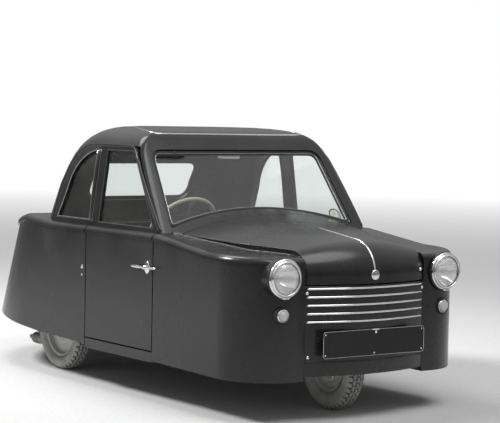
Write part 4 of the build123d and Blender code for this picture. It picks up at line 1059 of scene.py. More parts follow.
class CAR_OT_roof_trim(bpy.types.Operator):
    """Drip mouldings with a dark rubber band under them as painted shadow, header bead, and the strips on the
    door posts
    """
    bl_idname = "car.roof_trim"
    bl_label = "Roof trim"

    def execute(self, context):
        high = context.scene.car_sizes.gutter_height / MM
        # drip moulding from the tail over the windows and down the windscreen pillar (distance, height)
        z = np.linspace(1215, 856, 8)
        pillar = screen_y(z) - 16 + np.linspace(30, 5, 8)
        keys = [(1657, 850), (1607, 1020), (1534, 1160), (1457, 1234), (1370, 1268), (1252, 1274),
                (1031, 1273), (930, 1264), *zip(pillar, z)]
        run = evened(curve_through(keys, 300), 9.0)
        along = unit(np.gradient(run, axis=0))
        below = run + 9.5 * np.stack([-along[:, 1], along[:, 0]], axis=-1)
        lips, lines, shadow_bands = [], [], []
        for side in (-1, 1):
            path = on_house(run, side)
            lips.append(swept(path, half_round(high / 2, 8.0, 9, 3.0), side_normal(side), False,
                              tapered_ends(path, 14)))
            # dark rubber band under the lip: a painted shadow where the lip's shade falls
            shadow_bands.append(swept(on_house(below, side), half_round(7.0, 1.4, 9, 2.5), side_normal(side), False,
                               tapered_ends(below, 8)))
            for y in (1238.5, 1259.5):
                post = np.stack([np.full(30, y), np.linspace(868, 1247, 30)], axis=-1)
                path = on_door_frame(post, side, 0.4)
                lines.append(window_trim(path, side_normal(side), 1.2, 1.6, 2.0, False))
        solid_piece("drip_mouldings", lips, "body", "enamel")
        solid_piece("drip_shadow_bands", shadow_bands, "body", "rubber")
        # header bead across and back over the roof on both sides
        keys = [(0, 926, 1337), (200, 926, 1337), (380, 927, 1337), (452, 930, 1337), (478, 945, 1343),
                (481, 993, 1350), (457, 1081, 1356), (424, 1180, 1363), (400, 1270, 1367), (405, 1335, 1366)]
        half = curve_through(keys, 110)
        path = evened(np.concatenate([half[::-1], half[1:] * (-1, 1, 1)]), 9.0)
        path[:, 2] = np.maximum(path[:, 2], np.interp(path[:, 1], (926, 945), (1337, 1343)))
        lines.append(swept(path, half_round(4.2, 4.0, 9, 7.0), (0, -0.35, 1), False, tapered_ends(path, 30)))
        solid_piece("roof_beads", lines, "body", "chrome")
        return {"FINISHED"}


class CAR_OT_door_seals(bpy.types.Operator):
    """Draught seals on the door posts, which close the shut gaps behind the doors' rear edges"""
    bl_idname = "car.door_seals"
    bl_label = "Door seals"

    def execute(self, context):
        seals = []
        for side in (-1, 1):
            low, high = np.linspace(266, 842, 24), np.linspace(852, 1250, 18)
            for x, z in ((664, low), (frame_half(high) - 13, high)):
                path = np.stack(np.broadcast_arrays(side * x, DOOR_REAR + 2.4, z), axis=-1)
                seals.append(swept(path, round_section(SEAL_R, 12), (side, 0, 0)))
        solid_piece("door_seals", seals, "body", "rubber")
        return {"FINISHED"}


class CAR_OT_glass(bpy.types.Operator):
    """Windscreen, side and rear glass with their rubbers and bright beads"""
    bl_idname = "car.glass"
    bl_label = "Glass and rubbers"

    def execute(self, context):
        for node in ("windscreen", "rear_window", "quarter_glass", "door_glass_left", "door_glass_right"):
            refined(node, f"{node}_pane", "glass", 0)
        out = screen_normal()
        rubber = [window_trim(screen_outline(0.0, -3.0), out, 11.4, 9.5, 6.5)]
        solid_piece("windscreen_rubber", rubber, "body", "rubber", "windscreen_seal")
        # rear window: rounded oblong on its own slope, 9 mm inside the glass's outer plane
        foot_y, foot_z, height, lean, corner = REAR_WINDOW
        half = 336
        run = rounded([(-half, 4), (half, 4), (half, height - 4), (-half, height - 4)], corner, True, 12.0)
        c, s = math.cos(lean), math.sin(lean)
        rear = np.stack([run[:, 0], foot_y - run[:, 1] * s - 9 * c, foot_z + run[:, 1] * c - 9 * s], axis=-1)
        fixed = [window_trim(rear, (0, c, s), 8.0, 6.0)]
        beads = [swept(screen_outline(-7.5, 4.4), round_section(1.1, 8), out, True)]
        for name, side in (("right", -1), ("left", 1)):
            fixed.append(window_trim(on_house(quarter_run(3.0), side, -4.0), side_normal(side),
                                     6.0, 5.0, 4.0))
            beads.append(swept(on_house(quarter_run(8.5), side, -0.6)[::-1], round_section(1.4, 8),
                               side_normal(side), True))
            path = on_door_frame(door_run(2.0), side, -3.0)
            rubber = [window_trim(path, side_normal(side), 4.6, 3.6, 5.0)]
            solid_piece(f"door_{name}_rubber", rubber, f"door_{name}", "rubber")
        solid_piece("fixed_rubbers", fixed, "body", "rubber")
        solid_piece("window_beads", beads, "body", "chrome")
        return {"FINISHED"}


class CAR_OT_screen_fittings(bpy.types.Operator):
    """Wiper and disc holder on the windscreen"""
    bl_idname = "car.screen_fittings"
    bl_label = "Wiper and disc holder"

    def execute(self, context):
        out = screen_normal()
        # wiper parked under the header: rubber blade, its holder and the arm
        u = np.linspace(-500, -338, 18)
        v = 424 - 0.02 * (u + 500)
        blade, holder = screen_point(u, v, 6.5), screen_point(u[2:-2], v[2:-2], 10.5)
        arm = screen_point(np.linspace(-420, -392, 8), np.linspace(424, 446, 8), np.linspace(10, 11, 8))
        parts = [swept(blade, round_section(4.2, 8), out), swept(holder, round_section(5.0, 8), out),
                 swept(arm, round_section(3.4, 8), out), dome(screen_point(-391, 448, 5.0), out, 8, 7)]
        solid_piece("wiper", parts, "body", "rubber")
        # blank card in a ring behind the far lower corner of the glass
        centre = screen_point(508.0, 58.0, -11.0)
        ring = [(0.0, 32.0), (-2.5, 33.0), (-3.0, 36.0), (0.0, 38.0), (2.0, 36.0), (2.0, 33.0)]
        card = [(1.0, 0.01), (1.0, 33.0), (0.0, 33.0), (0.0, 0.01)]
        for name, profile, finish in (("disc_holder", ring, "rubber"), ("disc_card", card, "paper")):
            solid_piece(name, [facing(turned(profile, 40, centre, "Y"), centre, out)], "body", finish)
        return {"FINISHED"}


def tyre_shape(radius, width, rim, centre, depth, pitch):
    """Tyre: a flattened oval section about the middle of the wall, less zigzag grooves and cuts on the tread.

    The section is x = half * |cos v|^0.62, pinched by 38 % towards the beads, and
    r = middle + reach * |sin v|^0.8. Returns the shape and a weight for each point: 1 on the blocks and
    walls, which take the road dust, and 0 in the grooves, which stay black as painted shade.
    """
    half, middle, reach = width / 2, (radius + rim - 8) / 2, (radius - rim + 8) / 2
    u = np.linspace(0, 2 * np.pi, 432, endpoint=False)[:, None]
    v = np.linspace(0, 2 * np.pi, 120, endpoint=False)
    v = (v - 0.32 * np.sin(2 * v) - np.pi / 2)[None, :]
    c, s = np.cos(v), np.sin(v)
    x = half * np.sign(c) * np.abs(c) ** 0.62 * (1 - 0.38 * np.clip(-s, 0, 1) ** 1.5)
    r = middle + reach * np.sign(s) * np.abs(s) ** 0.8
    turn = (u * pitch / (2 * np.pi)) % 1.0
    wave = np.abs(turn * 2 - 1) - 0.5
    groove = np.zeros(np.broadcast_shapes(u.shape, v.shape))
    for place in (-0.60, -0.20, 0.20, 0.60):
        groove = np.maximum(groove, np.exp(-(((x / half - place) - 0.16 * wave) / 0.062) ** 4))
    # cuts across each row, half a pitch further on from row to row
    row = np.floor((x / half + 0.20) / 0.40)
    cut = np.exp(-(((turn + 0.5 * (row % 2)) % 1.0 - 0.5) / 0.11) ** 4)
    cut = np.where(np.abs(x / half) > 0.60, cut, 0.6 * cut)
    crown = np.clip((s - 0.50) / 0.1, 0, 1)
    groove = np.maximum(groove, cut) * crown
    # moulded rings on the wall
    ribs = 1.4 * np.exp(-((s - 0.30) / 0.05) ** 2) + 1.0 * np.exp(-((s + 0.35) / 0.05) ** 2)
    r = r - depth * groove
    x = np.broadcast_to(x + np.sign(x) * ribs, groove.shape)
    points = np.stack([x, r * np.cos(u), r * np.sin(u)], axis=-1).reshape(-1, 3) + np.asarray(centre, float)
    return (points, grid_faces(432, 120, True, True)), 1 - groove.ravel()


def sided(profile, side):
    """Profile along the axle that faces outwards on its side of the car."""
    return np.asarray(profile, float) * (side, 1)


def rim_shape(width, rim, centre, side):
    """Pressed wheel as a turned profile: rolled flanges, well, dished disc with a raised ring, hub face."""
    bead, edge, d = rim - 8, 0.31 * width, 8.0
    profile = [
        (-edge, bead), (-edge - 0.5, rim - 1), (-edge - 4, rim + 1), (-edge - 6, rim - 1),
        (-edge - 5, rim - 4), (-edge - 1, bead - 4), (-16, bead - 8), (-12, bead - 18), (d - 6, bead - 19),
        (d - 2, 0.66 * rim), (d + 6, 0.55 * rim), (d + 5, 45), (d - 2, 36), (d - 4, 16), (d + 4, 16),
        (d + 6, 36), (d + 12, 45), (d + 17, 0.50 * rim), (d + 16, 0.56 * rim), (d + 6, 0.63 * rim),
        (d + 2, 0.70 * rim), (d + 1, bead - 17), (12, bead - 12), (edge + 1, bead - 4),
        (edge + 5, rim - 4), (edge + 6, rim - 1), (edge + 4, rim + 1), (edge + 0.5, rim - 1),
        (edge, bead), (14, bead - 6), (-14, bead - 6)]
    return turned(sided(profile, side), 112, centre)


# Turned fittings of a wheel: (distance along the axle, radius)
HUB_CAP = [(12, 0.1), (12, 36), (15, 37), (22, 35), (32, 30), (40, 21), (43, 10), (46, 5), (46, 0.1)]
WHEEL_NUT = [(19, 0.1), (19, 7.5), (28, 7.5), (31, 5), (31, 0.1)]
NUT_CIRCLE = 54.0
BRAKE_DRUM = [(410, 26), (410, 85), (414, 88), (446, 88), (450, 84), (450, 26)]
BRAKE_PLATE = [(401, 24), (401, 86), (404, 92), (408, 92), (406, 86), (406, 24)]


class CAR_OT_wheels(bpy.types.Operator):
    """Tyres with tread, pressed wheels, hub caps, nuts, valves and brake drums"""
    bl_idname = "car.wheels"
    bl_label = "Wheels"

    def execute(self, context):
        sizes = context.scene.car_sizes
        # name, body, joint, outward side
        for name, body, joint, side in (("front", "front_wheel", "front_wheel_spin", -1),
                                        ("rear_left", "rear_wheel_left", "rear_wheel_left_spin", 1),
                                        ("rear_right", "rear_wheel_right", "rear_wheel_right_spin", -1)):
            place, _, end = name.partition("_")
            tyre, rim_node = (f"{place}_{part}" + (f"_{end}" if end else "") for part in ("tyre", "rim"))
            centre = car_mm(joint_place(joint))
            low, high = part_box(tyre)
            radius, width = (high[2] - low[2]) / 2 / MM, (high[0] - low[0]) / MM
            low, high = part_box(rim_node)
            rim = (high[2] - low[2]) / 2 / MM
            tread, dust = tyre_shape(radius, width, rim, centre, sizes.tread_depth / MM, sizes.tread_pitch)
            piece = solid_piece(f"{name}_tyre_tread", [tread], body, "tyre", tyre)
            # the dust weight keeps the grooves black as painted shade; blocks and walls take road dust
            piece.data.attributes.new("dust", "FLOAT", "POINT").data.foreach_set("value", dust)
            disc = rim_shape(width, rim, centre, side)
            solid_piece(f"{name}_wheel_disc", [disc], body, "silver", rim_node, sharp=40)
            parts = [turned(sided(HUB_CAP, side), 56, centre)]
            for a in np.radians([45, 135, 225, 315]):
                place_of_nut = centre + (0, NUT_CIRCLE * math.cos(a), NUT_CIRCLE * math.sin(a))
                parts.append(turned(sided(WHEEL_NUT, side), 6, place_of_nut))
            # tyre valve through the disc
            valve = np.linspace(centre + (side * 12, 0, rim - 44), centre + (side * 30, 0, rim - 50), 6)
            parts.append(swept(valve, round_section(3.2, 10), (0, 1, 0)))
            solid_piece(f"{name}_hub_cap", parts, body, "chrome", sharp=35)
            if place == "rear":
                middle = (0, centre[1], centre[2])
                drum, plate = (turned(sided(profile, side), 64, middle)
                               for profile in (BRAKE_DRUM, BRAKE_PLATE))
                solid_piece(f"{name}_brake_drum", [drum], body, "iron", sharp=35)
                solid_piece(f"{name}_brake_plate", [plate], "body", "chassis", sharp=35)
        return {"FINISHED"}


# Lamps as turned profiles: (distance behind the lamp's plane, radius)
LAMP_RIM = [(0, 92), (-4, 93.4), (-8, 93.6), (-12, 92.4), (-14.5, 89.6), (-15, 87), (-14, 85.4), (-16, 85),
            (-20, 83.8), (-22.6, 81.4), (-23.6, 78.6), (-22.6, 76), (-20, 74.8), (-16, 74.8), (-12, 78),
            (0, 82)]
LAMP_GASKET = [(4, 88), (-2, 88), (-3.5, 94), (-2, 96.4), (1, 97.4), (4, 97)]
LAMP_BULB = [(40, 0.1), (40, 11), (20, 12), (6, 16), (-4, 14), (-9, 8), (-11, 0.1)]
LENS_R = 74.6
SIDELAMP_BASE = [(14, 30), (14, 40), (-3, 41.5), (-6, 40.8), (-8, 38.6), (-7, 36), (-5, 30)]
SIDELAMP_RING = [(10, 26), (10, 33), (-8, 33.4), (-12, 32.4), (-14.6, 29.8), (-14.2, 27.2), (-11, 26)]
SIDELAMP_GLASS_R = 25.8
TAIL_GLASS = [(4, 0.1), (4, 25), (-1, 25), (-8, 22), (-13, 15), (-15.5, 7), (-16, 0.1)]
TAIL_BEZEL = [(4, 25), (4, 31), (-1, 32), (-4, 30.5), (-4.5, 27), (-2, 25)]
# piece, finish, replaced node
LAMP_PIECES = (
    ("headlamp_rims", "chrome", "headlamps"),
    ("headlamp_gaskets", "rubber"),
    ("headlamp_reflectors", "mirror"),
    ("headlamp_glasses", "lamp_glass", "headlamp_lenses"),
    ("headlamp_bulbs", "lamp_glass"),
    ("sidelamp_bases", "rubber", "sidelamps"),
    ("sidelamp_rings", "chrome"),
    ("sidelamp_glasses", "small_glass", "sidelamp_lenses"),
)


def reflector(centre):
    """Bowl behind the glass: a paraboloid y = 50 - 61 (r / 74)^2, 3 mm thick."""
    t = np.linspace(0.001, 1, 16)
    back = np.stack([50 - 61 * t**2, 74 * t], axis=-1)
    front = np.stack([53 - 61 * t**2, 76 * t], axis=-1)
    return turned(np.concatenate([back, front[::-1]]), 72, centre, "Y")


def fluted_glass(centre, flutes):
    """Headlamp glass: outside a dome 29 mm high, inside 3.6 mm behind it with flutes as a cosine across."""
    rho = np.linspace(0.001, LENS_R, 26)[:, None]
    angle = np.linspace(0, 2 * np.pi, 144, endpoint=False)[None, :]
    x, z = rho * np.cos(angle), rho * np.sin(angle)
    y = -14.0 - 29.0 * (1 - (rho / LENS_R) ** 2) + 0 * angle
    wave = 0.7 * np.cos(x / LENS_R * np.pi * flutes / 2) * (1 - (rho / LENS_R) ** 8)
    outer, inner = np.stack([x, y, z], axis=-1), np.stack([x, y + 3.6 + wave, z], axis=-1)
    points = np.concatenate([outer.reshape(-1, 3), inner[::-1].reshape(-1, 3)]) + centre
    return points, grid_faces(2 * len(rho), angle.size, False, True)


class CAR_OT_lamps(bpy.types.Operator):
    """Headlamps, sidelamps and tail lamps"""
    bl_idname = "car.lamps"
    bl_label = "Lamps"

    def execute(self, context):
        flutes = context.scene.car_sizes.flutes
        made = {name: [] for name, *_ in LAMP_PIECES}
        for side in (-1, 1):
            centre = np.array(HEADLAMP) * (side, 1, 1)
            clamp = block(centre + (-21, -21, -95), centre + (21, -6, -88), 5, 20)
            tab = block(centre + (-95.2, -16, -7), centre + (-89.5, -9, 7), 6, 12)
            made["headlamp_rims"] += [turned(LAMP_RIM, 112, centre, "Y"), clamp]
            made["headlamp_gaskets"] += [turned(LAMP_GASKET, 96, centre, "Y"), tab]
            made["headlamp_reflectors"].append(reflector(centre))
            made["headlamp_glasses"].append(fluted_glass(centre, flutes))
            made["headlamp_bulbs"].append(turned(LAMP_BULB, 28, centre, "Y"))
            centre = np.array(SIDELAMP) * (side, 1, 1)
            t = np.linspace(0, np.pi / 2, 10)
            cap = np.stack([-9 - 19 * np.sin(t), np.maximum(SIDELAMP_GLASS_R * np.cos(t), 0.1)], axis=-1)
            cap = np.concatenate([[(-4, 0.1), (-4, SIDELAMP_GLASS_R)], cap])
            made["sidelamp_bases"].append(turned(SIDELAMP_BASE, 72, centre, "Y"))
            made["sidelamp_rings"].append(turned(SIDELAMP_RING, 72, centre, "Y"))
            made["sidelamp_glasses"].append(turned(cap, 60, centre, "Y"))
        for name, finish, *node in LAMP_PIECES:
            solid_piece(name, made[name], "body", finish, *node, sharp=50)
        glasses, bezels = [], []
        x, z = TAIL_LAMP
        for side in (-1, 1):
            centre = on_tail(side * x, z, 2.0)
            ahead = np.array((side * x / math.sqrt(TAIL_R**2 - x**2), 1.0, TAIL_SLOPE))
            glasses.append(facing(turned(TAIL_GLASS, 48, centre, "Y"), centre, ahead))
            bezels.append(facing(turned(TAIL_BEZEL, 56, centre, "Y"), centre, ahead))
        solid_piece("tail_lamp_glasses", glasses, "body", "red_glass", "tail_lamps")
        solid_piece("tail_lamp_bezels", bezels, "body", "chrome")
        return {"FINISHED"}


# Round badge at the lower end of the bonnet strip: (distance behind its plane, radius)
BADGE = [(4, 0.1), (4, 24), (-3, 25), (-7, 24), (-8.6, 21.5), (-8.2, 20), (-10, 14), (-11.2, 7), (-11.6, 0.1)]
# door handle: distance and height of its spindle, and the stem's profile (distance out of the skin, radius)
HANDLE_Y = 637.0
HANDLE_Z = 676.0
HANDLE_STEM = [(2, 0.1), (2, 12), (8, 9.5), (15, 9), (21, 10.5), (25, 7), (26, 0.1)]


def handle_shapes(side):
    """Door handle: a lever pointed at both ends, thickest over its spindle, on a stem and an oval foot."""
    y = np.linspace(536, 768, 60)
    bow = 3.0 * (1 - ((y - 652) / 116) ** 2)
    lever = np.stack([side * (706.5 + bow), y, 676.5 - 0.012 * (y - 652)], axis=-1)
    girth = np.interp(y, (536, 600, 640, 664, 706, 768), (0.75, 0.9, 0.85, 0.8, 1.2, 0.62))
    lever = swept(lever, round_section(7.5, 18, 0.62), (side, 0, 0), False, girth * tapered_ends(lever, 22))
    angle = np.linspace(0, 2 * np.pi, 40, endpoint=False)
    oval = np.stack([0 * angle, 21.5 * np.cos(angle), 32.5 * np.sin(angle)], axis=-1)
    foot = np.array((side * SKIN_HALF, HANDLE_Y, HANDLE_Z))
    steps = ((1, -2), (1, 2), (0.94, 4.6), (0.8, 6.4), (0.5, 7.2))
    foot = stacked([foot + oval * k + (side * out, 0, 0) for k, out in steps])
    stem = [(SKIN_HALF + out, r) for out, r in HANDLE_STEM]
    low, high = sorted((side * 706, side * 715))
    return [lever, foot, turned(sided(stem, side), 28, (0, HANDLE_Y, HANDLE_Z)),
            block((low, 618, 668), (high, 658, 684), 3.5, 24)]


class CAR_OT_bright_trim(bpy.types.Operator):
    """Nose strips, bonnet strip and badge, locks, bolts and door handles"""
    bl_idname = "car.bright_trim"
    bl_label = "Bright trim"

    def execute(self, context):
        half = context.scene.car_sizes.strip_height / MM / 2
        strips = []
        for z in STRIP_Z:
            x = np.linspace(-358, 358, 74)
            path = np.stack([x, nose_face(x), 0 * x + z], axis=-1)
            strips.append(swept(path, half_round(half, 5.6, 12, 2.0), (0, -1, 0), False,
                                np.clip(tapered_ends(path, 2), 0.75, 1)))
        solid_piece("nose_strips", strips, "body", "chrome", "grille_strips")
        # bonnet strip: half-round on the centre line, thin at the rear and full at the badge
        s = np.concatenate([np.linspace(0.80, 1, 4)[:-1], np.linspace(1, 2, 30)[:-1],
                            np.linspace(2, 2.9, 20)])
        path = nose_skin(np.zeros(len(s)), s, BONNET_LOW)
        path = path[path[:, 1] < 157]
        scale = np.clip(1.0 - 0.62 * (path[:, 1] - NOSE_Y) / 462, 0.3, 1) * tapered_ends(path, 5)
        parts = [swept(path, half_round(5.4, 4.6, 12, 2.0), (0, -1, 0.4), False, scale),
                 turned(BADGE, 56, (0.0, NOSE_Y + 1, 694.0), "Y")]
        solid_piece("bonnet_strip", parts, "bonnet", "chrome", "bonnet_trim", sharp=50)
        x = 338.0
        lock = [dome((x, nose_face(x) + 3.5, 704.0), (0.33, -1, 0.35), 10, 10)]
        solid_piece("bonnet_lock", lock, "bonnet", "chrome")
        bolts = []
        for x, z in ((357.0, 614.0), (348.0, 309.0)):
            for side in (-1, 1):
                bolts.append(dome((side * x, nose_face(x), z), (side * 0.35, -1, 0), 8.5, 5.5))
        for side in (-1, 1):
            for z, radius in ((627.0, 11.0), (585.0, 6.5)):
                bolts.append(dome((side * SKIN_HALF, 1278.0, z), (side, 0, 0), radius, 5.0))
        solid_piece("bolts_and_locks", bolts, "body", "chrome", sharp=50)
        for name, side in (("right", -1), ("left", 1)):
            solid_piece(f"door_handle_{name}_lever", handle_shapes(side), f"door_{name}", "chrome",
                        f"door_handle_{name}", sharp=50)
        return {"FINISHED"}


def rear_plate_y(z):
    """Distance of the rear plate's back, which leans with the tail 2 mm behind its middle."""
    return TAIL_Y + TAIL_R + 2 - TAIL_SLOPE * (z - TAIL_Z)


class CAR_OT_plates(bpy.types.Operator):
    """Blank number plates at the nose and tail with their brackets and rivets"""
    bl_idname = "car.plates"
    bl_label = "Number plates"

    def execute(self, context):
        half = context.scene.car_sizes.plate_width / MM / 2
        low, high = PLATE_Z
        plate = flat_plate(half, low, high, 16.0, lambda x, z: 0 * x + PLATE_Y)
        solid_piece("front_plate_blank", [plate], "body", "plate", "number_plate", sharp=40)
        # bright line along the plate's raised rim, then its rivets
        rim = rounded([(-half, low), (half, low), (half, high), (-half, high)], 16.0, True, 9.0)
        x, z = set_in(rim, 1.6).T
        rivets = [swept(np.stack([x, 0 * x + PLATE_Y - 4.1, z], axis=-1), round_section(0.9, 8), (0, -1, 0),
                        True)]
        for x, z in ((15 - half, high - 15), (half - 15, high - 15), (15 - half, low + 15),
                     (half - 15, low + 15), (0, low + 12)):
            rivets.append(dome((x, PLATE_Y - 2.5, z), (0, -1, 0), 4.2, 2.8, 16))
        brackets = []
        for side in (-1, 1):
            for x, reach in ((250.0, 12), (90.0, 10)):
                brackets.append(block((side * x - reach, PLATE_Y - 0.5, 352),
                                      (side * x + reach, float(nose_face(x)) + 1, 372), 8, 16))
        # T bracket over the plate's top edge
        rivets.append(block((-14, PLATE_Y - 5, 430), (30, PLATE_Y - 2, 437), 5, 20))
        rivets.append(block((3, PLATE_Y - 5, 414), (13, PLATE_Y - 2, 433), 5, 16))
        # the rear plate is made facing forwards and mirrored
        half, low, high = REAR_PLATE
        points, faces = flat_plate(half, low, high, 12.0, lambda x, z: -rear_plate_y(z),
                                   math.atan(TAIL_SLOPE))
        rear = (points * (1, -1, 1), faces)
        solid_piece("rear_plate_blank", [rear], "body", "plate", sharp=40)
        for side in (-1, 1):
            for z in (372.0, 428.0):
                brackets.append(block((side * 150 - 9, float(on_tail(150.0, z)[1]) - 3, z - 8),
                                      (side * 150 + 9, rear_plate_y(z) + 1, z + 8), 8, 16))
                rivets.append(dome((side * 178, rear_plate_y(z) + 2.0, z), (0, 1, TAIL_SLOPE), 4.2, 2.8, 16))
        solid_piece("plate_rivets", rivets, "body", "chrome", sharp=50)
        solid_piece("plate_brackets", brackets, "body", "chassis")
        return {"FINISHED"}


class CAR_OT_tail(bpy.types.Operator):
    """Louvres and handle of the tail lid"""
    bl_idname = "car.tail"
    bl_label = "Tail fittings"

    def execute(self, context):
        ahead = (0, 1, TAIL_SLOPE)
        louvres = []
        for side in (-1, 1):
            for z in np.arange(560.0, 681.0, 24.0):
                path = on_tail(np.linspace(side * 95 - 70, side * 95 + 70, 24), z)
                louvres.append(swept(path, half_round(8.0, 8.0, 10, 3.0), ahead, False,
                                     tapered_ends(path, 12)))
        solid_piece("lid_louvres", louvres, "tail_lid", "enamel")
        place = on_tail(0.0, 512.0)
        bar = np.linspace(place + (-42, 20, 6), place + (42, 20, 6), 24)
        stem = np.linspace(place, place + (0, 20, 8), 6)
        parts = [dome(place, ahead, 19, 6),
                 swept(bar, round_section(6.5, 16, 0.7), ahead, False, tapered_ends(bar, 12)),
                 swept(stem, round_section(7, 16), (1, 0, 0))]
        solid_piece("lid_handle", parts, "tail_lid", "chrome")
        return {"FINISHED"}


def gear_shapes():
    """Gear lever with its boot and knob, hand brake beside it, and three pedals with arms."""
    lever = curve_through([(-40, 760, 250), (-40, 775, 330), (-44, 800, 430), (-50, 820, 520)], 24)
    brake = curve_through([(62, 760, 262), (62, 830, 290), (62, 960, 352), (62, 1000, 372)], 24)
    boot = [(254, 0.1), (254, 34), (262, 32), (272, 20), (276, 10), (276, 0.1)]
    steel = [swept(lever, round_section(6, 14), (1, 0, 0)), swept(brake, round_section(7, 14), (1, 0, 0)),
             turned(boot, 32, (-40, 760, 0), "Z")]
    rubber = [block((-67, 803, 512), (-33, 837, 546), 2.0, 24),
              swept(brake[17:] + (0, 2, 1), round_section(12, 16), (1, 0, 0), False,
                    tapered_ends(brake[17:], 12))]
    for x, width in ((-420, 52), (-330, 56), (-235, 44)):
        arm = curve_through([(x, 372, 520), (x, 400, 450), (x, 430, 390), (x, 446, 352)], 16)
        steel.append(swept(arm, round_section(6, 12), (1, 0, 0)))
        rubber.append(block((x - width / 2, 440, 318), (x + width / 2, 456, 378), 6, 20))
    return steel, rubber


# Steering wheel: lean of its column, radius of the rim's centre line, hub as (distance up the column, radius)
COLUMN_LEAN = math.radians(35)
WHEEL_R = 190.0
WHEEL_HUB = [(-24, 0.1), (-24, 28), (-4, 34), (3, 33), (8, 26), (10, 14), (10, 0.1)]
# dials: distance from the middle, height, radius; knobs: profile, distances from the middle, height
DIALS = ((0.0, 858.0, 44.0), (-112.0, 858.0, 30.0), (112.0, 858.0, 30.0))
KNOB = [(1, 0.1), (1, 5), (-10, 5), (-12, 9), (-20, 9), (-22, 6), (-22, 0.1)]
KNOB_X = (-75.0, -45.0, -15.0, 15.0, 45.0, 75.0)
KNOB_Z = 796.0


def steering_wheel_shapes(centre):
    """Rim, a round bar whose back has finger waves, and the hub with three pairs of spokes."""
    normal = np.array((0, math.cos(COLUMN_LEAN), math.sin(COLUMN_LEAN)))
    over = np.array((0, -math.sin(COLUMN_LEAN), math.cos(COLUMN_LEAN)))
    side = np.array((1.0, 0, 0))
    a = np.linspace(0, 2 * np.pi, 120, endpoint=False)[:, None]
    run = centre + WHEEL_R * (np.cos(a) * side + np.sin(a) * over) - 0.8 * np.cos(36 * a) * normal
    rim = swept(run, round_section(9.6, 18) * (1.1, 1.0), normal, True)
    metal = []
    for angle in np.radians([90, 210, 330]):
        across = math.cos(angle) * side + math.sin(angle) * over
        beside = math.cos(angle) * over - math.sin(angle) * side
        for gap in (-7, 7):
            start = centre + 22 * across + gap * beside - 8 * normal
            end = centre + (WHEEL_R - 6) * across + gap * beside
            metal.append(swept(np.linspace(start, end, 10), round_section(2.6, 10), normal))
    metal.append(facing(turned(WHEEL_HUB, 48, centre, "Y"), centre, -normal))
    return [rim], metal


def dial_shapes(x, z, radius):
    """Round dial on the dashboard: its bezel, its face, and eleven plain marks with a needle."""
    place = np.array((x, DASH_Y, z))
    bezel = [(-1, radius - 3), (-1, radius + 3), (6, radius + 2), (8, radius - 1), (5, radius - 3)]
    face = [(-1, 0.1), (-1, radius - 2), (2, radius - 2), (2, 0.1)]
    marks = []
    for t in np.radians(np.arange(-210, 31, 24)):
        spot = place + ((radius - 8) * math.cos(t), 2.2, -(radius - 8) * math.sin(t))
        marks.append(block(spot - (1.6, 0.4, 1.6), spot + (1.6, 0.4, 1.6), 4, 8))
    reach = (radius - 10) * 0.7
    needle = np.linspace(place + (0, 3, 0), place + (reach, 3, reach), 6)
    marks.append(swept(needle, round_section(1.0, 6), (0, 1, 0)))
    return turned(bezel, 56, place, "Y"), turned(face, 48, place, "Y"), marks


def door_card_shapes(side):
    """Door card: a flat pad with rolled edges, and a strap to pull the door to."""
    run = rounded([(640, 300), (1180, 300), (1180, 800), (640, 800)], 40, True, 14.0)
    loops = []
    for inset, out in ((0, 4.5), (0, 1.5), (5, -1), (14, -2.5), (40, -3)):
        y, z = set_in(run, inset).T
        loops.append(np.stack([side * (CARD_X + out) + 0 * y, y, z], axis=-1))
    pull = curve_through([(side * 640, 760, 640), (side * 618, 790, 632), (side * 614, 850, 630),
                          (side * 618, 910, 632), (side * 640, 940, 640)], 30)
    return [stacked(loops), swept(pull, round_section(9, 14, 0.4), (0, 0, 1))]


class CAR_OT_cabin(bpy.types.Operator):
    """Steering wheel, dials, knobs, pedals, levers, mat, door cards and mirror"""
    bl_idname = "car.cabin"
    bl_label = "Cabin fittings"

    def execute(self, context):
        rim, metal = steering_wheel_shapes(car_mm(joint_place("steering_wheel_turn")))
        solid_piece("steering_wheel_rim", rim, "steering_wheel", "ivory", "steering_wheel")
        solid_piece("steering_wheel_spokes", metal, "steering_wheel", "chrome")
        bezels, faces, marks = [], [], []
        for x, z, radius in DIALS:
            bezel, face, lines = dial_shapes(x, z, radius)
            bezels.append(bezel)
            faces.append(face)
            marks += lines
        solid_piece("dial_bezels", bezels, "body", "chrome")
        solid_piece("dial_faces", faces, "body", "plate")
        solid_piece("dial_marks", marks, "body", "paper")
        places = [np.array((x, DASH_Y, KNOB_Z)) for x in KNOB_X]
        knobs = [facing(turned(KNOB, 24, place, "Y"), place, (0, 1, 0)) for place in places]
        solid_piece("dash_knobs", knobs, "body", "ivory")
        steel, rubber = gear_shapes()
        solid_piece("levers_and_arms", steel, "body", "chassis")
        solid_piece("knobs_and_pads", rubber, "body", "rubber")
        # ribbed mat in front of the seat: z = 258.5 + 1.2 cos(2 pi x / 14)
        x = np.linspace(-640, 640, 641)[:, None]
        y = np.linspace(392, 980, 5)[None, :]
        sheet = np.stack(np.broadcast_arrays(x, y, MAT_Z + 1.2 * np.cos(2 * np.pi * x / 14)), axis=-1)
        solid_piece("floor_mat", [shell(sheet, 2.5, (0, 0, 1))], "body", "mat")
        for name, side in (("right", -1), ("left", 1)):
            solid_piece(f"door_{name}_card", door_card_shapes(side), f"door_{name}", "cloth")
        # mirror under the header
        arm = curve_through([(0, 968, 1330), (0, 944, 1300), (0, 930, 1262), (0, 932, 1236)], 16)
        head = block((-70, 926, 1204), (70, 942, 1242), 4.5, 36)
        solid_piece("inside_mirror", [swept(arm, round_section(4, 12), (1, 0, 0)), head], "body", "mirror")
        return {"FINISHED"}


# Blown-up seats: voxel size of the skin, air pressure, frames of the cloth run, furthest that a point moves
SKIN_VOXEL = 9.0
AIR_PRESSURE = 4.0
CLOTH_FRAMES = 20
SWELL_CAP = 22.0
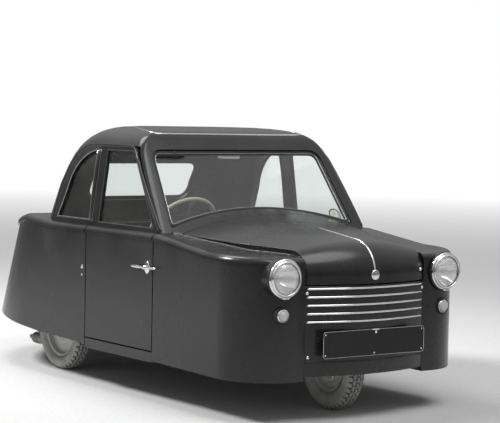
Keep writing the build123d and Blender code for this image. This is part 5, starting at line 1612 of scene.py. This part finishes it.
# pads: name, block's far corner, distance and height of its foot, rise a millimetre back, lean a millimetre
# up, way out of its face, node
SEAT_HALF = 572
PADS = (
    ("cushion", (SEAT_HALF, 452, 92), (966, 388), -0.063, 0.0, (0, -0.063, 1.0), "seat_cushion"),
    ("back", (SEAT_HALF, 58, 380), (1394, 484), 0.0, 0.226, (0, -1.0, 0.226), "seat_back"),
)
# sewn channels: half width of the sewn part, depth and width of a channel
SEWN_HALF = 540.0
CHANNEL_DEPTH = 9.0
CHANNEL_WIDTH = 6.5
PIPING_HALF = 548


def swollen(piece, quick):
    """Blows a closed form up as cloth: 9 mm voxel skin, pressure 4, 20 frames, no point past 22 mm."""
    remesh = piece.modifiers.new("skin", "REMESH")
    remesh.mode = "VOXEL"
    remesh.voxel_size = SKIN_VOXEL * MM
    remesh.use_smooth_shade = True
    piece.data = baked_mesh(piece)
    piece.modifiers.clear()
    if not quick:
        scene = bpy.context.scene
        start = corner_array(piece.data)
        cloth = piece.modifiers.new("pressure", "CLOTH")
        cloth.settings.quality = 6
        cloth.settings.mass = 0.25
        cloth.settings.tension_stiffness = cloth.settings.compression_stiffness = 12
        cloth.settings.use_pressure = True
        cloth.settings.uniform_pressure_force = AIR_PRESSURE
        cloth.settings.effector_weights.gravity = 0
        cloth.point_cache.frame_start, cloth.point_cache.frame_end = 1, CLOTH_FRAMES
        for number in range(1, CLOTH_FRAMES + 1):
            scene.frame_set(number)
        shift = corner_array(baked_mesh(piece)) - start
        piece.modifiers.clear()
        scene.frame_set(1)
        length = np.linalg.norm(shift, axis=1, keepdims=True)
        held = start + shift * np.minimum(1, SWELL_CAP * MM / np.maximum(length, 1e-9))
        piece.data.vertices.foreach_set("co", held.ravel())
    smooth = piece.modifiers.new("finer", "SUBSURF")
    smooth.levels = smooth.render_levels = 1
    piece.data = baked_mesh(piece)
    piece.modifiers.clear()
    piece.data.polygons.foreach_set("use_smooth", np.full(len(piece.data.polygons), True))


def channel_depth(points, normals, out, border, pleats):
    """Depth of the sewn channels: 9 exp(-(distance to the seam / 6.5)^2) on the face inside its border."""
    seam = 2 * SEWN_HALF / pleats
    across = (points[:, 0] + SEWN_HALF) / seam
    away = np.abs(across - np.round(across)) * seam
    on_face = np.clip((normals @ out - 0.25) / 0.4, 0, 1)
    inside = np.clip((SEWN_HALF + 5 - np.abs(points[:, 0])) / 6, 0, 1) * np.clip(border / 10, 0, 1)
    return CHANNEL_DEPTH * np.exp(-(away / CHANNEL_WIDTH) ** 2) * inside * on_face


def cushion_piping():
    """Piping round the cushion's top, which falls from 497 in front to 466 at the back."""
    half = PIPING_HALF
    x, y = rounded([(-half, 985), (half, 985), (half, 1420), (-half, 1420)], 30, True, 12.0).T
    path = np.stack([x, y, np.interp(y, (966, 1450), (497, 466)) - 3], axis=-1)
    return swept(path, round_section(3.4, 10), (0, 0, 1), True)


def back_piping():
    """Piping round the seat back's face, which leans from 1384 at its foot to 1450 at the top."""
    half = PIPING_HALF
    x, z = rounded([(-half, 500), (half, 500), (half, 852), (-half, 852)], 30, True, 12.0).T
    path = np.stack([x, np.interp(z, (475, 880), (1384, 1450)) + 4, z], axis=-1)
    return swept(path, round_section(3.4, 10), (0, -1, 0), True)


class CAR_OT_seats(bpy.types.Operator):
    """Bench cushion and back as blown-up pads with sewn channels and piping"""
    bl_idname = "car.seats"
    bl_label = "Seats"

    def execute(self, context):
        pleats = context.scene.car_sizes.pleats
        for name, high, (foot_y, foot_z), rise, lean, out, node in PADS:
            points, faces = block((-SEAT_HALF, 0, 0), high, 9.0, 64)
            x, y, z = points.T
            shape = np.stack([x, y + foot_y + lean * z, z + foot_z + rise * y], axis=-1)
            piece = solid_piece(f"seat_{name}_pad", [(shape, faces)], "body", "cloth", node)
            swollen(piece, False)
            points = (corner_array(piece.data) - (0, AXLE_Y, 0)) / MM
            normals = np.empty(points.size)
            piece.data.vertices.foreach_get("normal", normals)
            # plain border at the cushion's front edge and the back's top edge
            border = points[:, 1] - 985 if name == "cushion" else 850 - points[:, 2]
            out = unit(np.array(out))
            depth = channel_depth(points, normals.reshape(-1, 3), out, border, pleats)
            points = points - depth[:, None] * out
            piece.data.vertices.foreach_set("co", (points * MM + (0, AXLE_Y, 0)).ravel())
            piece.data.update()
            piece.data.materials.clear()
            piece.data.materials.append(MATERIALS["cloth"])
        solid_piece("seat_piping", [cushion_piping(), back_piping()], "body", "cloth")
        return {"FINISHED"}


def silencer_shapes():
    """Silencer: a barrel with seamed ends and a pointed tail pipe, its hanger and three straps."""
    x, middle, z, r, length = EXHAUST
    front, rear = middle - length / 2, middle + length / 2
    barrel = [(front, 0.1), (front, 11), (front + 4, 20), (front + 8, r - 1.5), (front + 11, r),
              (front + 14, r), (front + 16, r - 1.6), (rear - 62, r - 1.6), (rear - 60, r), (rear - 57, r),
              (rear - 52, r - 3), (rear - 24, 15), (rear - 16, 12.5), (rear, 12.5), (rear, 10),
              (rear - 14, 9), (rear - 14, 0.1)]
    parts = [turned(barrel, 48, (x, 0, z), "Y")]
    for x_low, x_high, z_low, z_high in ((x - 15, x + 15, z, 226), (x - 15, 15 - RAIL_X, 219, 233),
                                         (-RAIL_X - 12, 12 - RAIL_X, 226, 300)):
        parts.append(block((x_low, middle - 12, z_low), (x_high, middle + 12, z_high), 9, 16))
    for y in (middle - 60, middle, middle + 28):
        strap = [(y - 6, r - 2), (y - 6, r + 1.2), (y + 6, r + 1.2), (y + 6, r - 2)]
        parts.append(turned(strap, 48, (x, 0, z), "Y"))
    return parts


class CAR_OT_running_gear(bpy.types.Operator):
    """Fork springs, engine with cooling fins, and the silencer with its straps"""
    bl_idname = "car.running_gear"
    bl_label = "Running gear"

    def execute(self, context):
        turns, foot, height = 8, 238, 186
        angle = np.linspace(0, turns * 2 * np.pi, turns * 22)
        coils = []
        for side in (-1, 1):
            path = np.stack([side * 100 + 17.5 * np.cos(angle), 17.5 * np.sin(angle),
                             foot + height * angle / angle[-1]], axis=-1)
            coils.append(swept(path, round_section(3.2, 8), (0, 0, 1)))
        solid_piece("fork_springs", coils, body_of("front_fork"), "spring")
        refined("engine_block", "engine_casing", "iron", 6.0)
        solid_piece("exhaust_silencer", silencer_shapes(), "body", "dull_steel", "exhaust", sharp=40)
        fins = [block((-163, 2120, z), (163, 2416, z + 4), 10, 32) for z in np.arange(500, 668, 13.0)]
        solid_piece("engine_fins", fins, "body", "iron")
        return {"FINISHED"}


class CAR_PT_panel(bpy.types.Panel):
    """Lists the car's sizes, colours and pieces"""
    bl_label = "Three wheeled car"
    bl_idname = "CAR_PT_panel"
    bl_space_type = "VIEW_3D"
    bl_region_type = "UI"
    bl_category = "Car"

    def draw(self, context):
        column = self.layout.column()
        for group in (context.scene.car_sizes, context.scene.car_colours):
            for key in group.__annotations__:
                column.prop(group, key)
        for operator in OPERATORS:
            column.operator(operator.bl_idname)


OPERATORS = (CAR_OT_camera, CAR_OT_stage, CAR_OT_panels, CAR_OT_nose, CAR_OT_roof_trim, CAR_OT_door_seals,
             CAR_OT_glass, CAR_OT_screen_fittings, CAR_OT_wheels, CAR_OT_lamps, CAR_OT_bright_trim,
             CAR_OT_plates, CAR_OT_tail, CAR_OT_cabin, CAR_OT_seats, CAR_OT_running_gear)
CLASSES = (CarBodySizes, CarColours, *OPERATORS, CAR_PT_panel)


def register():
    """Registers the classes and their settings on the scene."""
    for cls in CLASSES:
        bpy.utils.register_class(cls)
    bpy.types.Scene.car_sizes = PointerProperty(type=CarBodySizes)
    bpy.types.Scene.car_colours = PointerProperty(type=CarColours)


def unregister():
    """Takes the classes and settings away again."""
    del bpy.types.Scene.car_colours
    del bpy.types.Scene.car_sizes
    for cls in reversed(CLASSES):
        bpy.utils.unregister_class(cls)


def main():
    """Makes every piece in order."""
    register()
    make_materials(bpy.context.scene.car_colours)
    for operator in OPERATORS:
        group, name = operator.bl_idname.split(".")
        getattr(getattr(bpy.ops, group), name)()


if __name__ == "__main__":
    main()
